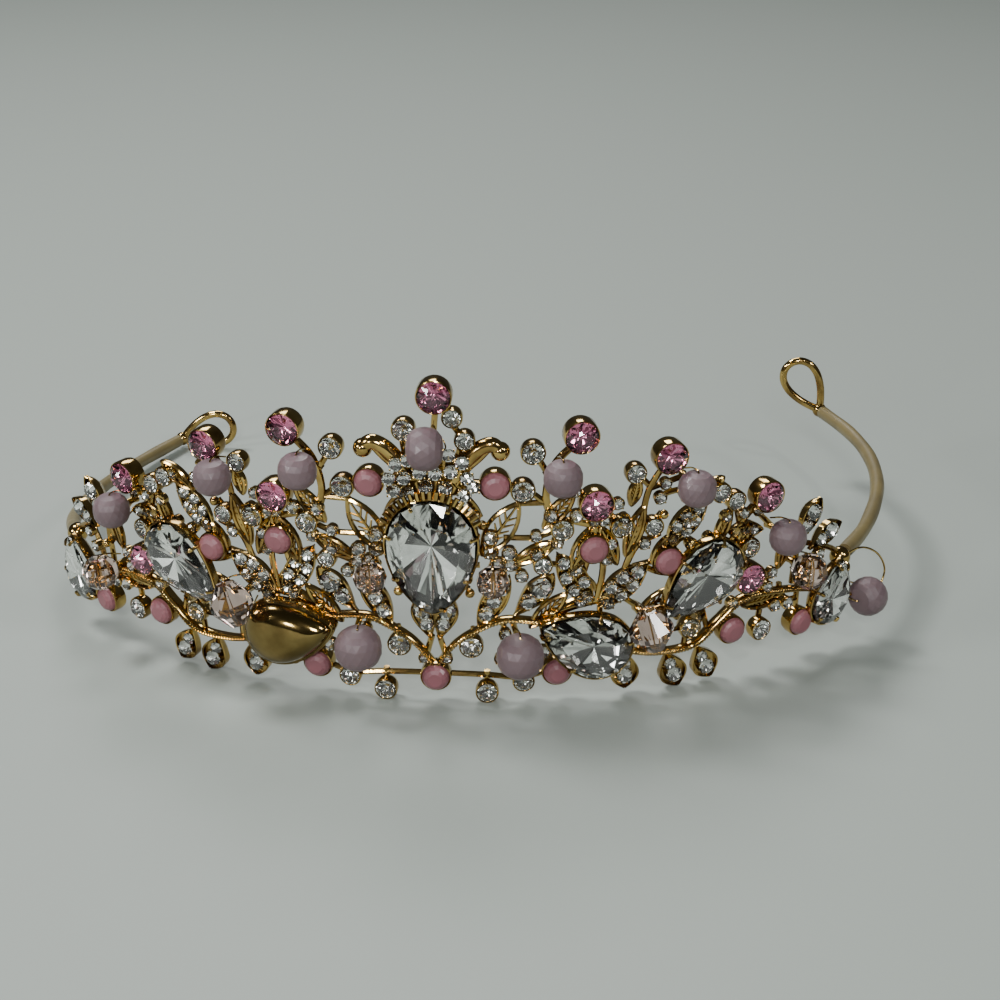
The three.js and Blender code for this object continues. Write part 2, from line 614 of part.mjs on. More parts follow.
/** All the soldered metal of the front, with its small fused stones. */
function goldFront() {
  const pieces = [...fan(), ...horn((place) => place), ...horn(mirrorPlace)];
  for (const mirror of [(place) => place, mirrorPlace]) {
    for (const { points, steps } of VINES) pieces.push(panelWire(points.map(mirror), VINE_RADIUS, 5, steps));
    for (const places of MIRRORED_STEMS) {
      pieces.push(stem(places.map(mirror)));
    }
    for (const row of LEAVES) pieces.push(...leaf({ ...row, root: mirror(row.root), tip: mirror(row.tip) }));
    for (const { root, tip } of DROPS) {
      const row = { root: mirror(root), tip: mirror(tip), width: DROP_WIDTH, stones: DROP_STONES };
      pieces.push(...leaf(row, DROP_DEPTH));
    }
    for (const { side, lift } of KNOBS) {
      pieces.push(new THREE.SphereGeometry(KNOB_RADIUS, 6, 4).applyMatrix4(panelFrame(mirror([side, lift]))));
    }
  }
  for (const places of STEMS) pieces.push(stem(places));
  for (const row of PINK_STONES.flatMap(bothSides)) {
    pieces.push(cup(PINK).applyMatrix4(panelFrame([row.side, row.lift], stoneOut(PINK))));
  }
  for (const row of CABOCHONS.flatMap(bothSides)) {
    pieces.push(cup(CAB).applyMatrix4(panelFrame([row.side, row.lift], stoneOut(CAB))));
  }
  for (const row of CLEAR_CUPS.flatMap(bothSides)) {
    pieces.push(clearCup(row.size).applyMatrix4(panelFrame([row.side, row.lift])));
  }
  const [centre, ...wings] = PEARS.flatMap(bothSides);
  for (const row of wings) pieces.push(pearTray(row, pearOut(row)));
  for (const row of [...BEADS, ...PEACH_STONES].flatMap(bothSides)) {
    pieces.push(post([row.side, row.lift], (row.proud ?? 0) * (row.radius ?? 0)));
  }
  const front = wasm.Manifold.union([...pieces, collar(1), collar(-1)].map(toSolid));
  const bored = front.subtract(collarBore(1)).subtract(collarBore(-1)).asOriginal().simplify(MESH_TOLERANCE);
  return toGeometry(filled(bored.add(toSolid(pearTray(centre, pearOut(centre))))));
}

const group = new THREE.Group();

/** Adds one named piece to the tiara. */
function add(name, geometry, finish) {
  const mesh = new THREE.Mesh(geometry, new THREE.MeshStandardMaterial(FINISH[finish]));
  mesh.name = name;
  group.add(mesh);
}

add('gold_front', goldFront(), 'gold');
for (const row of PEARS.flatMap(bothSides)) {
  add(`pear_${row.label}`, pear(row), row.metal ? 'gold' : 'crystal');
}
for (const row of PINK_STONES.flatMap(bothSides)) {
  const place = panelFrame([row.side, row.lift], stoneOut(PINK));
  add(`pink_stone_${row.label}`, roundStone(PINK).applyMatrix4(place), 'pink');
}
for (const row of CABOCHONS.flatMap(bothSides)) {
  const place = panelFrame([row.side, row.lift], stoneOut(CAB));
  add(`cabochon_${row.label}`, cabochon(CAB).applyMatrix4(place), 'cabochon');
}
for (const row of BEADS.flatMap(bothSides)) {
  const place = panelFrame([row.side, row.lift], beadOut(row.size.radius));
  add(`bead_${row.label}`, bead(row.size, row.across).applyMatrix4(place), 'mauve');
}
for (const row of PEACH_STONES.flatMap(bothSides)) {
  const place = panelFrame([row.side, row.lift], beadOut(row.radius, row.proud));
  add(`bead_${row.label}`, peachBead(row).applyMatrix4(place), 'peach');
}
for (const [label, hand] of [['right', 1], ['left', -1]]) {
  add(`arm_wire_${label}`, armWire(hand), 'gold');
  add(`arm_sleeve_${label}`, armSleeve(hand), 'sleeve');
}

// The origin lies under the middle of the whole tiara, on the surface that it stands on
const box = new THREE.Box3().setFromObject(group);
const middle = box.getCenter(new THREE.Vector3());
group.position.set(-middle.x, -middle.y, -box.min.z);

export default group;
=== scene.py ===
"""A wired stage tiara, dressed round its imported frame.

A pierced gilt front of vines, leaves, cups and stones stands on a flared half-oval, beads are
wired on in front of it, and two sleeved wire arms end in loops. Shapes are worked out in
millimetres on the same half-oval as the frame, and each mesh is stored in metres.
"""
import logging
from dataclasses import dataclass, replace
from enum import Enum
from math import pi, radians, tan

import bpy
import numpy as np
from mathutils import Matrix, Vector


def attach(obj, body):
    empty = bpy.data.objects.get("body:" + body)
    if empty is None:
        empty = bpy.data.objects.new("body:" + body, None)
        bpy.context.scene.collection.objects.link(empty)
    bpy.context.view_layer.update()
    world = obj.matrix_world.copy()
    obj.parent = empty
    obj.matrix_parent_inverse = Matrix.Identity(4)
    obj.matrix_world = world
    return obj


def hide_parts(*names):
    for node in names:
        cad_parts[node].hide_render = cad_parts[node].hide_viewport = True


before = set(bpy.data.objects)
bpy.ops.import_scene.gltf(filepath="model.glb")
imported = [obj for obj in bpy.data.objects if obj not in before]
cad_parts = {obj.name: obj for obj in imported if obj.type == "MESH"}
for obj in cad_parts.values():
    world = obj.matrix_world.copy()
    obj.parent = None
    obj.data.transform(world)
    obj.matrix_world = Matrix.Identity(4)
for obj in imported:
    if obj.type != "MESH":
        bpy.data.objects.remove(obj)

logging.basicConfig(level=logging.INFO, format="%(message)s")
log = logging.getLogger("tiara")

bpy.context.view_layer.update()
MM = 0.001
BODY = "root"
UP = np.array([0.0, 0.0, 1.0])
TRIANGLE = -1
LEAST = 1e-12

# The greatest value of sin t sin(t/2), which a teardrop's half width is divided by
FULLEST = 0.77

# A cut stone, in shares: how far out and how deep the corners of its back lie, how far they
# follow the point under them, and how high its star corners lie over the girdle
BACK_SHARE, BACK_DEPTH, CULET_PULL, STAR_HEIGHT = 0.55, 0.66, 0.4, 0.55

# A small stone, for turned()
SMALL_STONE = [(0.04, 0, 0, 0.42), (1, 0, -0.06, 0), (1, 0, 0.06, 0), (0.84, 0, 0, -0.34),
               (0.45, 0, 0, -0.56)]

# Stones' radii, and how far in front of the panel their widest lines stand, in millimetres
PINK_RADIUS, PINK_OUT = 2.35, 2.2
CABOCHON_RADIUS, CABOCHON_OUT = 2.1, 1.4
CLEAR_RADIUS, CLEAR_OUT = 1.5, 1.4
TINY_RADIUS, TINY_OUT = 1.03, 1.1
FAN_STONE_RADIUS, FAN_OUT = 1.08, 2.3

# How far a pear's tray reaches behind its stone, and how far off the panel a bead's back is
TRAY_DEPTH = 1.2
BEAD_BACK = 1.8

Place = tuple[float, float]
Seat = tuple[np.ndarray, np.ndarray, float]


class Finish(Enum):
    """The record's material slots, by name; the pieces are given their materials directly."""

    GOLD = "gold"
    CRYSTAL = "crystal"
    PINK = "pink_stone"
    CABOCHON = "cabochon"
    MAUVE = "mauve_bead"
    PEACH = "peach_bead"
    SLEEVE = "sleeve"


class LeafKind(Enum):
    """How a leaf is filled: plain, pierced between its veins, or set with stones."""

    BLADE = "blade"
    OPEN = "open"
    SET = "set"


# Shapes


def unit(vectors: np.ndarray) -> np.ndarray:
    """Vectors scaled to length 1."""
    length = np.linalg.norm(vectors, axis=-1, keepdims=True)
    return vectors / np.maximum(length, LEAST)


def ahead(ring: np.ndarray, steps: int = 1) -> np.ndarray:
    """The numbers that lie some steps further round each ring."""
    return np.roll(ring, -steps, axis=-1)


def facing(*corners: np.ndarray | int) -> np.ndarray:
    """Faces from their first, second and third corners, and their fourth if they have one."""
    filled = corners + (TRIANGLE,) * (4 - len(corners))
    return np.stack(np.broadcast_arrays(*filled), axis=-1)


def level(flat: np.ndarray, out: float) -> np.ndarray:
    """Flat points at one height."""
    return np.column_stack([flat, np.full(len(flat), out)])


@dataclass
class Surface:
    """A closed mesh in millimetres.

    Attributes:
        points: the corners, one row each.
        faces: four corner numbers a row, the last one TRIANGLE where the face has three.
        smooth: whether each face is shaded as part of a curve.
        finish: the material number of each face.
    """

    points: np.ndarray
    faces: np.ndarray
    smooth: np.ndarray
    finish: np.ndarray

    def volume(self) -> float:
        """The signed volume: the sum over triangles of a . (b x c) / 6."""
        a, b, c, d = (self.points[self.faces[:, i]] for i in range(4))
        first = np.einsum("ij,ij->i", a, np.cross(b, c))
        second = np.einsum("ij,ij->i", a, np.cross(c, d))
        second[self.faces[:, 3] == TRIANGLE] = 0
        return float((first.sum() + second.sum()) / 6)

    def outward(self) -> "Surface":
        """The surface with its faces turned to point outwards."""
        if self.volume() >= 0:
            return self
        triangle = self.faces[:, 3] == TRIANGLE
        turned = self.faces[:, ::-1].copy()
        turned[triangle] = np.roll(turned[triangle], -1, axis=1)
        return replace(self, faces=turned)

    def copies(self, basis: np.ndarray, origin: np.ndarray) -> "Surface":
        """One copy in each frame: point = origin + basis . point.

        Args:
            basis: the axes of the frames, as columns, shape (k, 3, 3).
            origin: the frames' places, shape (k, 3).

        Returns:
            All the copies as one surface.
        """
        count = len(origin)
        points = np.einsum("kij,nj->kni", basis, self.points) + origin[:, None, :]
        shift = np.arange(count)[:, None, None] * len(self.points)
        faces = np.where(self.faces == TRIANGLE, TRIANGLE, self.faces + shift)
        return Surface(points.reshape(-1, 3), faces.reshape(-1, 4),
                       np.tile(self.smooth, count), np.tile(self.finish, count))

    def at(self, places: np.ndarray) -> "Surface":
        """One copy at each point, unturned."""
        places = np.atleast_2d(places)
        return self.copies(np.tile(np.eye(3), (len(places), 1, 1)), places)


def merged(parts: list[Surface]) -> Surface:
    """Many surfaces as one list of points and faces."""
    starts = np.cumsum([0] + [len(part.points) for part in parts[:-1]])
    faces = [np.where(part.faces == TRIANGLE, TRIANGLE, part.faces + start)
             for part, start in zip(parts, starts)]
    return Surface(np.concatenate([part.points for part in parts]), np.concatenate(faces),
                   np.concatenate([part.smooth for part in parts]),
                   np.concatenate([part.finish for part in parts]))


def caps(rings: np.ndarray, index: np.ndarray) -> tuple[np.ndarray, list[np.ndarray]]:
    """What closes the two ends of a row of rings.

    Args:
        rings: points, shape (rings, points in a ring, 3).
        index: the numbers of those points.

    Returns:
        The middles of the first and last ring, and the fans of triangles to them.
    """
    middles = np.stack([rings[0].mean(axis=0), rings[-1].mean(axis=0)])
    fans = [facing(index.size, ahead(index[0]), index[0]),
            facing(index.size + 1, index[-1], ahead(index[-1]))]
    return middles, fans


def sheath(rings: np.ndarray, closed: bool = False, smooth: bool = True) -> Surface:
    """The skin through a row of rings, capped at both ends or closed on itself.

    Args:
        rings: points, shape (rings, points in a ring, 3).
        closed: whether the last ring joins the first.
        smooth: whether it is shaded as a curve.

    Returns:
        The closed surface, its faces outwards.
    """
    rows, columns = rings.shape[:2]
    index = np.arange(rows * columns).reshape(rows, columns)
    lower, upper = (index, np.roll(index, -1, axis=0)) if closed else (index[:-1], index[1:])
    faces = [facing(lower, ahead(lower), ahead(upper), upper).reshape(-1, 4)]
    points = [rings.reshape(-1, 3)]
    if not closed:
        middles, fans = caps(rings, index)
        points.append(middles)
        faces += fans
    faces = np.concatenate(faces)
    count = len(faces)
    skin = Surface(np.concatenate(points), faces, np.full(count, smooth), np.zeros(count, int))
    return skin.outward()


def smooth_path(points: np.ndarray, per_span: int, closed: bool = False) -> np.ndarray:
    """A centripetal Catmull-Rom curve through points.

    On each span from b to c, with neighbours a and d and knot steps of the square root of the
    chords, the curve is the cubic with the tangents that those three chords give.

    Args:
        points: the points that it passes through, shape (n, 3).
        per_span: steps between two of them.
        closed: whether it runs back to its start.

    Returns:
        The points of the curve.
    """
    if closed:
        padded = np.vstack([points[-1], points, points[:2]])
    else:
        padded = np.vstack([2 * points[0] - points[1], points, 2 * points[-1] - points[-2]])
    a, b, c, d = padded[:-3], padded[1:-2], padded[2:-1], padded[3:]
    before, here, after = (np.sqrt(np.linalg.norm(step, axis=1, keepdims=True))
                           for step in (b - a, c - b, d - c))
    start = here * ((b - a) / before - (c - a) / (before + here) + (c - b) / here)
    finish = here * ((c - b) / here - (d - b) / (here + after) + (d - c) / after)
    t = (np.arange(per_span) / per_span)[None, :, None]
    b, c, start, finish = (array[:, None, :] for array in (b, c, start, finish))
    curve = b + start * t + (3 * (c - b) - 2 * start - finish) * t**2
    curve = curve + (2 * (b - c) + start + finish) * t**3
    curve = curve.reshape(-1, 3)
    return curve if closed else np.vstack([curve, points[-1]])


def evenly(path: np.ndarray, spacing: float) -> np.ndarray:
    """Points at even steps along a path, by its summed length.

    Args:
        path: the points of the path.
        spacing: about how far apart the new points lie.

    Returns:
        The new points.
    """
    steps = np.linalg.norm(np.diff(path, axis=0), axis=1)
    along = np.concatenate([[0], np.cumsum(steps)])
    count = max(2, int(round(along[-1] / spacing)) + 1)
    wanted = np.linspace(0, along[-1], count)
    return np.stack([np.interp(wanted, along, path[:, i]) for i in range(3)], axis=1)


def tube(path: np.ndarray, radius: float | np.ndarray, sides: int = 8,
         reference: np.ndarray = UP, closed: bool = False, flat: float = 1.0) -> Surface:
    """A wire: path + radius (side cos a + flat normal sin a).

    Args:
        path: the wire's middle line.
        radius: its radius, one number or one for each point of the path.
        sides: points round it.
        reference: a direction across the wire, one or one for each point.
        closed: whether the path is a ring.
        flat: its thickness towards the reference as a share of its width.

    Returns:
        The wire, with flat ends.
    """
    if closed:
        tangent = unit(np.roll(path, -1, axis=0) - np.roll(path, 1, axis=0))
    else:
        tangent = unit(np.gradient(path, axis=0))
    side = unit(np.cross(tangent, np.broadcast_to(reference, path.shape)))
    normal = np.cross(side, tangent)
    angle = (2 * pi * np.arange(sides) / sides)[None, :, None]
    ring = np.cos(angle) * side[:, None] + flat * np.sin(angle) * normal[:, None]
    size = np.broadcast_to(radius, len(path))[:, None, None]
    return sheath(path[:, None] + size * ring, closed)


def lathe(profile: list[tuple[float, float]], sides: int, smooth: bool = True) -> Surface:
    """A turned shape about z: (r cos a, r sin a, z) for each (r, z) of the profile.

    Args:
        profile: (radius, height) pairs from one end to the other.
        sides: points round it.
        smooth: whether it is shaded as a curve.

    Returns:
        The closed shape.
    """
    radius, out = np.array(profile, float).T
    angle = 2 * pi * (np.arange(sides) + 0.5) / sides
    rings = np.stack([radius[:, None] * np.cos(angle), radius[:, None] * np.sin(angle),
                      np.broadcast_to(out[:, None], (len(radius), sides))], axis=-1)
    return sheath(rings, smooth=smooth)


def turned(profile: list[tuple[float, ...]], radius: float, depth: float, sides: int,
           smooth: bool = True) -> Surface:
    """A turned shape of radius a r + b and height c - d depth for each (a, b, c, d).

    Args:
        profile: the (a, b, c, d) rows.
        radius: the radius r.
        depth: the depth.
        sides: points round it.
        smooth: whether it is shaded as a curve.

    Returns:
        The closed shape.
    """
    return lathe([(a * radius + b, c - d * depth) for a, b, c, d in profile], sides, smooth)


def ball(radius: float, sides: int = 10, rows: int = 6) -> Surface:
    """A ball: rings at even angles between its poles."""
    angle = np.linspace(0.06, pi - 0.06, rows)
    return lathe(list(zip(radius * np.sin(angle), -radius * np.cos(angle))), sides)


def round_outline(radius: float, count: int) -> np.ndarray:
    """A circle of points."""
    angle = 2 * pi * np.arange(count) / count
    return radius * np.stack([np.cos(angle), np.sin(angle)], axis=1)


def pear_edge(t: np.ndarray, width: float, length: float, full: float) -> np.ndarray:
    """Points of a pear's edge, point down: y = -l/2 cos t and x = w/2 sin t f(t) / max.

    f is a blend of sin(t/2) / 0.77, a teardrop, and 1, an ellipse, and max makes w the width.

    Args:
        t: the angles from the tip.
        width: the pear's width w.
        length: its length l.
        full: the ellipse's share.

    Returns:
        The points, shape (len(t), 2).
    """
    def swell(angle: np.ndarray) -> np.ndarray:
        """The half width before it is scaled."""
        return np.sin(angle) * ((1 - full) * np.sin(angle / 2) / FULLEST + full)

    widest = swell(np.linspace(0, pi, 91)).max()
    return np.stack([width / 2 * swell(t) / widest, -length / 2 * np.cos(t)], axis=-1)


def pear_outline(row: "PearRow", grow: float, count: int) -> np.ndarray:
    """The closed outline of a pear, its first point at the tip, a distance grow outside it."""
    t = 2 * pi * np.arange(count) / count
    return pear_edge(t, row.width + 2 * grow, row.length + 2 * grow, row.full)


def brilliant(outline: np.ndarray, table: float, crown: float, pavilion: float,
              girdle: float = 0.25, culet: float = 0.0, uneven: float = 0.0) -> Surface:
    """A cut stone of 8 or more mains, its crown and girdle in material 0, its back in 1.

    A main starts at every second point of the outline. Table corners are the outline scaled by
    table; star corners lie between them, half-way out and half-way down; the back has the same
    cut down to one point.

    Args:
        outline: the girdle, an even number of points anticlockwise.
        table: the table's size as a share of the outline.
        crown: height of the table over the girdle's middle.
        pavilion: depth of the point under it.
        girdle: half the girdle's height.
        culet: how far the point under it lies from the middle, along y.
        uneven: how much every second corner of the back lies further out.

    Returns:
        The stone, flat-faced.
    """
    count = len(outline)
    mains = count // 2
    even, odd = outline[0::2], outline[1::2]
    star = (1 + table) / 2
    spread = (BACK_SHARE + uneven * (-1.0) ** np.arange(mains))[:, None]
    parts = [level(even * table, crown), level(odd * star, girdle + (crown - girdle) * STAR_HEIGHT),
             level(outline, girdle), level(outline, -girdle),
             level(odd * spread + [0, culet * CULET_PULL],
                   -girdle - (pavilion - girdle) * BACK_DEPTH),
             np.array([[0, 0, crown], [0, culet, -pavilion]])]
    starts = np.cumsum([0] + [len(part) for part in parts])
    k, j = np.arange(mains), np.arange(count)
    ring_table = starts[0] + k
    ring_star = starts[1] + k
    upper, lower = starts[2] + j, starts[3] + j
    ring_back = starts[4] + k
    middle, point = starts[5], starts[5] + 1
    crown_faces = [facing(middle, ring_table, ahead(ring_table)),
                   facing(ring_table, ring_star, ahead(ring_table)),
                   facing(ring_table, ahead(ring_star, -1), upper[0::2], ring_star),
                   facing(ring_star, upper[0::2], upper[1::2]),
                   facing(ring_star, upper[1::2], ahead(upper[0::2])),
                   facing(lower, ahead(lower), ahead(upper), upper)]
    back_faces = [facing(point, ring_back, lower[0::2], ahead(ring_back, -1)),
                  facing(ring_back, lower[1::2], lower[0::2]),
                  facing(ring_back, ahead(lower[0::2]), lower[1::2])]
    front, back = np.concatenate(crown_faces), np.concatenate(back_faces)
    faces = np.concatenate([front, back])
    finish = np.repeat([0, 1], [len(front), len(back)])
    return Surface(np.concatenate(parts), faces, np.zeros(len(faces), bool), finish)


def small_stone(radius: float, sides: int = 8) -> Surface:
    """A small cut stone: table, two rows of facets and a foiled cone, its girdle at z = 0."""
    stone = turned(SMALL_STONE, radius, radius, sides, smooth=False)
    middle = stone.points[stone.faces[:, :3]].mean(axis=1)[:, 2]
    return replace(stone, finish=(middle < -0.1).astype(int))


# The half-oval


@dataclass(frozen=True)
class Panel:
    """The flared half-oval that the front follows, in millimetres.

    A place on it is (side, lift), shares of its spread to one side and of its rise.

    Attributes:
        half_width: half its width at the foot.
        depth: from its middle to its front, at the foot.
        slope: how much both grow for each millimetre of height.
        spread: the angle from the front to its end, in radians.
        rise: the height of lift 1.
        middle: the half-oval's middle, at its foot.
    """

    half_width: float = 78.8
    depth: float = 72.4
    slope: float = tan(radians(4.8))
    spread: float = radians(48)
    rise: float = 50.0
    middle: tuple[float, float, float] = (0.001, 25.443, 0.125)

    def frames(self, places: list[Place], out: float | np.ndarray = 0.0,
               turn: float = 0.0) -> tuple[np.ndarray, np.ndarray]:
        """Frames at places: x across, y up and z out of the panel.

        The point is (w sin a, -d cos a, h) with w and d growing by the slope times h.

        Args:
            places: (side, lift) pairs.
            out: how far in front of the panel they lie.
            turn: a turn in the panel's plane, in degrees.

        Returns:
            The axes as columns, shape (n, 3, 3), and the origins, shape (n, 3).
        """
        side, lift = np.array(places, float).reshape(-1, 2).T
        angle, height = side * self.spread, lift * self.rise
        width, depth = self.half_width + height * self.slope, self.depth + height * self.slope
        sine, cosine = np.sin(angle), np.cos(angle)
        flat = np.zeros_like(side)
        point = np.stack([width * sine, -depth * cosine, height], axis=1)
        across = unit(np.stack([width * cosine, depth * sine, flat], axis=1))
        lean = np.stack([self.slope * sine, -self.slope * cosine, flat + 1], axis=1)
        outward = unit(np.cross(across, lean))
        rising = np.cross(outward, across)
        origin = point + outward * np.broadcast_to(out, len(side))[:, None] + self.middle
        c, s = np.cos(radians(turn)), np.sin(radians(turn))
        basis = np.stack([c * across + s * rising, c * rising - s * across, outward], axis=-1)
        return basis, origin

    def points(self, places: list[Place], out: float | np.ndarray = 0.0) -> np.ndarray:
        """The points at places, out in front of the panel."""
        return self.frames(places, out)[1]

    def radial(self, path: np.ndarray) -> np.ndarray:
        """The level directions from the half-oval's middle to points."""
        reach = path - np.array(self.middle)
        reach[:, 2] = 0
        return unit(reach)

    def wire(self, places: list[Place], radius: float, sides: int = 8, per_span: int = 6,
             out: float | np.ndarray = 0.0, flat: float = 1.0) -> Surface:
        """A wire along the panel through places."""
        path = smooth_path(self.points(places, out), per_span)
        return tube(path, radius, sides, self.radial(path), flat=flat)

    def put(self, shape: Surface, places: list[Place], out: float = 0.0,
            turn: float = 0.0) -> Surface:
        """Copies of a shape at places."""
        return shape.copies(*self.frames(places, out, turn))


PANEL = Panel()


def mirrored(places: list[Place]) -> list[Place]:
    """The same places on the other side."""
    return [(-side, lift) for side, lift in places]


def both(places: list[Place]) -> list[Place]:
    """Places and their mirror images."""
    return list(places) + mirrored(places)


# Materials


WEAR_START, WEAR_FULL = 0.38, 0.66
BUMP_STRENGTH = 0.35
COAT_ROUGHNESS = 0.05
SCATTER_SPREAD = (1.0, 0.8, 0.7)
SCATTER_DEPTH = 0.0015


def shader(name: str) -> tuple[bpy.types.Material, bpy.types.Node]:
    """A new material and its Principled shader."""
    material = bpy.data.materials.new(name)
    material.use_nodes = True
    return material, material.node_tree.nodes["Principled BSDF"]


def cast_surface() -> bpy.types.ShaderNodeTree:
    """The group for handled surfaces: slow patches of wear over a fine ripple.

    Returns:
        A group with inputs Patch Size, Ripple Size, Low and High, and outputs Mask,
        Roughness and Height.
    """
    group = bpy.data.node_groups.new("handled_surface", "ShaderNodeTree")
    for label, value in (("Patch Size", 120.0), ("Ripple Size", 900.0), ("Low", 0.1), ("High", 0.3)):
        socket = group.interface.new_socket(label, in_out="INPUT", socket_type="NodeSocketFloat")
        socket.default_value = value
    for label in ("Mask", "Roughness", "Height"):
        group.interface.new_socket(label, in_out="OUTPUT", socket_type="NodeSocketFloat")
    nodes, links = group.nodes, group.links
    start, end = nodes.new("NodeGroupInput"), nodes.new("NodeGroupOutput")
    place = nodes.new("ShaderNodeTexCoord")
    patches, ripple = nodes.new("ShaderNodeTexNoise"), nodes.new("ShaderNodeTexNoise")
    patches.inputs["Detail"].default_value = 4.0
    ripple.inputs["Detail"].default_value = 2.0
    for noise, size in ((patches, "Patch Size"), (ripple, "Ripple Size")):
        links.new(place.outputs["Object"], noise.inputs["Vector"])
        links.new(start.outputs[size], noise.inputs["Scale"])
    contrast = nodes.new("ShaderNodeMapRange")
    contrast.inputs["From Min"].default_value = WEAR_START
    contrast.inputs["From Max"].default_value = WEAR_FULL
    links.new(patches.outputs["Fac"], contrast.inputs["Value"])
    spread = nodes.new("ShaderNodeMapRange")
    links.new(contrast.outputs["Result"], spread.inputs["Value"])
    links.new(start.outputs["Low"], spread.inputs["To Min"])
    links.new(start.outputs["High"], spread.inputs["To Max"])
    links.new(contrast.outputs["Result"], end.inputs["Mask"])
    links.new(spread.outputs["Result"], end.inputs["Roughness"])
    links.new(ripple.outputs["Fac"], end.inputs["Height"])
    return group


@dataclass(frozen=True)
class HandledFinish:
    """An opaque finish with patches of wear and a fine ripple.

    Attributes:
        name: the material's name.
        fresh: its colour where it is clean.
        worn: its colour in the worn patches.
        low: roughness where clean.
        high: roughness where worn.
        patch: noise scale of the patches, per metre.
        ripple: noise scale of the ripple, per metre.
        depth: height of the ripple, in metres.
        metallic: 1 for metal.
        coat: weight of the clear coat.
        scatter: weight of light scattered inside.
    """

    name: str
    fresh: tuple[float, float, float]
    worn: tuple[float, float, float]
    low: float
    high: float
    patch: float = 120.0
    ripple: float = 900.0
    depth: float = 0.00002
    metallic: float = 0.0
    coat: float = 0.0
    scatter: float = 0.0

    def make(self, surface: bpy.types.ShaderNodeTree) -> bpy.types.Material:
        """The material, with the handled surface's group in it.

        Args:
            surface: the group of patches and ripple.

        Returns:
            The material.
        """
        material, principled = shader(self.name)
        nodes, links = material.node_tree.nodes, material.node_tree.links
        group = nodes.new("ShaderNodeGroup")
        group.node_tree = surface
        for label, value in (("Patch Size", self.patch), ("Ripple Size", self.ripple),
                             ("Low", self.low), ("High", self.high)):
            group.inputs[label].default_value = value
        blend = nodes.new("ShaderNodeMix")
        blend.data_type = "RGBA"
        blend.inputs[6].default_value = (*self.fresh, 1)
        blend.inputs[7].default_value = (*self.worn, 1)
        bump = nodes.new("ShaderNodeBump")
        bump.inputs["Strength"].default_value = BUMP_STRENGTH
        bump.inputs["Distance"].default_value = self.depth
        links.new(group.outputs["Mask"], blend.inputs[0])
        links.new(blend.outputs[2], principled.inputs["Base Color"])
        links.new(group.outputs["Roughness"], principled.inputs["Roughness"])
        links.new(group.outputs["Height"], bump.inputs["Height"])
        links.new(bump.outputs["Normal"], principled.inputs["Normal"])
        principled.inputs["Metallic"].default_value = self.metallic
        principled.inputs["Coat Weight"].default_value = self.coat
        principled.inputs["Coat Roughness"].default_value = COAT_ROUGHNESS
        principled.inputs["Subsurface Weight"].default_value = self.scatter
        principled.inputs["Subsurface Radius"].default_value = SCATTER_SPREAD
        principled.inputs["Subsurface Scale"].default_value = SCATTER_DEPTH
        return material


@dataclass(frozen=True)
class StoneFinish:
    """Clear cut glass in front of a mirror foil, or with no foil.

    Attributes:
        name: the first part of the materials' names.
        body: the colour of the glass.
        foil: the colour of the foil.
        index: the glass's index of refraction.
        foil_roughness: how dull the foil is.
    """

    name: str
    body: tuple[float, float, float]
    foil: tuple[float, float, float] = (0.86, 0.87, 0.86)
    index: float = 1.58
    foil_roughness: float = 0.06

    def make(self) -> list[bpy.types.Material]:
        """The glass and the foil, in the order of a cut stone's material numbers."""
        glass, principled = shader(f"{self.name}_glass")
        principled.inputs["Base Color"].default_value = (*self.body, 1)
        principled.inputs["Roughness"].default_value = 0.0
        principled.inputs["IOR"].default_value = self.index
        principled.inputs["Transmission Weight"].default_value = 1.0
        foil, principled = shader(f"{self.name}_foil")
        principled.inputs["Base Color"].default_value = (*self.foil, 1)
        principled.inputs["Metallic"].default_value = 1.0
        principled.inputs["Roughness"].default_value = self.foil_roughness
        return [glass, foil]


GOLD_FINISH = HandledFinish("polished_gold", (0.56, 0.39, 0.13), (0.22, 0.13, 0.04), 0.08, 0.18,
                            patch=260.0, ripple=900.0, depth=0.00005, metallic=1.0)
# The dome's gold is about half as bright as the polished gold. This is painted shade for the dark
# room that the polished dome reflects, with random worn patches over it.
DOME_FINISH = HandledFinish("gilt_with_painted_shade_and_wear", (0.27, 0.195, 0.07), (0.15, 0.10, 0.033), 0.07, 0.16,
                            patch=200.0, ripple=700.0, metallic=1.0)
CABOCHON_FINISH = HandledFinish("dusty_pink_enamel", (0.215, 0.08, 0.094), (0.175, 0.065, 0.076),
                                0.34, 0.46, coat=0.12, scatter=0.1)
MAUVE_FINISH = HandledFinish("milky_mauve_glass", (0.125, 0.086, 0.094), (0.108, 0.074, 0.081),
                             0.42, 0.55, depth=0.00001, coat=0.05, scatter=0.6)
SLEEVE_FINISH = HandledFinish("khaki_sleeve", (0.15, 0.12, 0.052), (0.11, 0.088, 0.038), 0.34, 0.5,
                              scatter=0.1)
CRYSTAL_FINISH = StoneFinish("crystal", (1.0, 1.0, 1.0), foil=(0.96, 0.97, 0.94))
PINK_STONE_FINISH = StoneFinish("pink_rhinestone", (0.95, 0.43, 0.61), foil=(0.97, 0.78, 0.86))
PEACH_FINISH = StoneFinish("peach_crystal", (0.95, 0.74, 0.67), index=1.54)


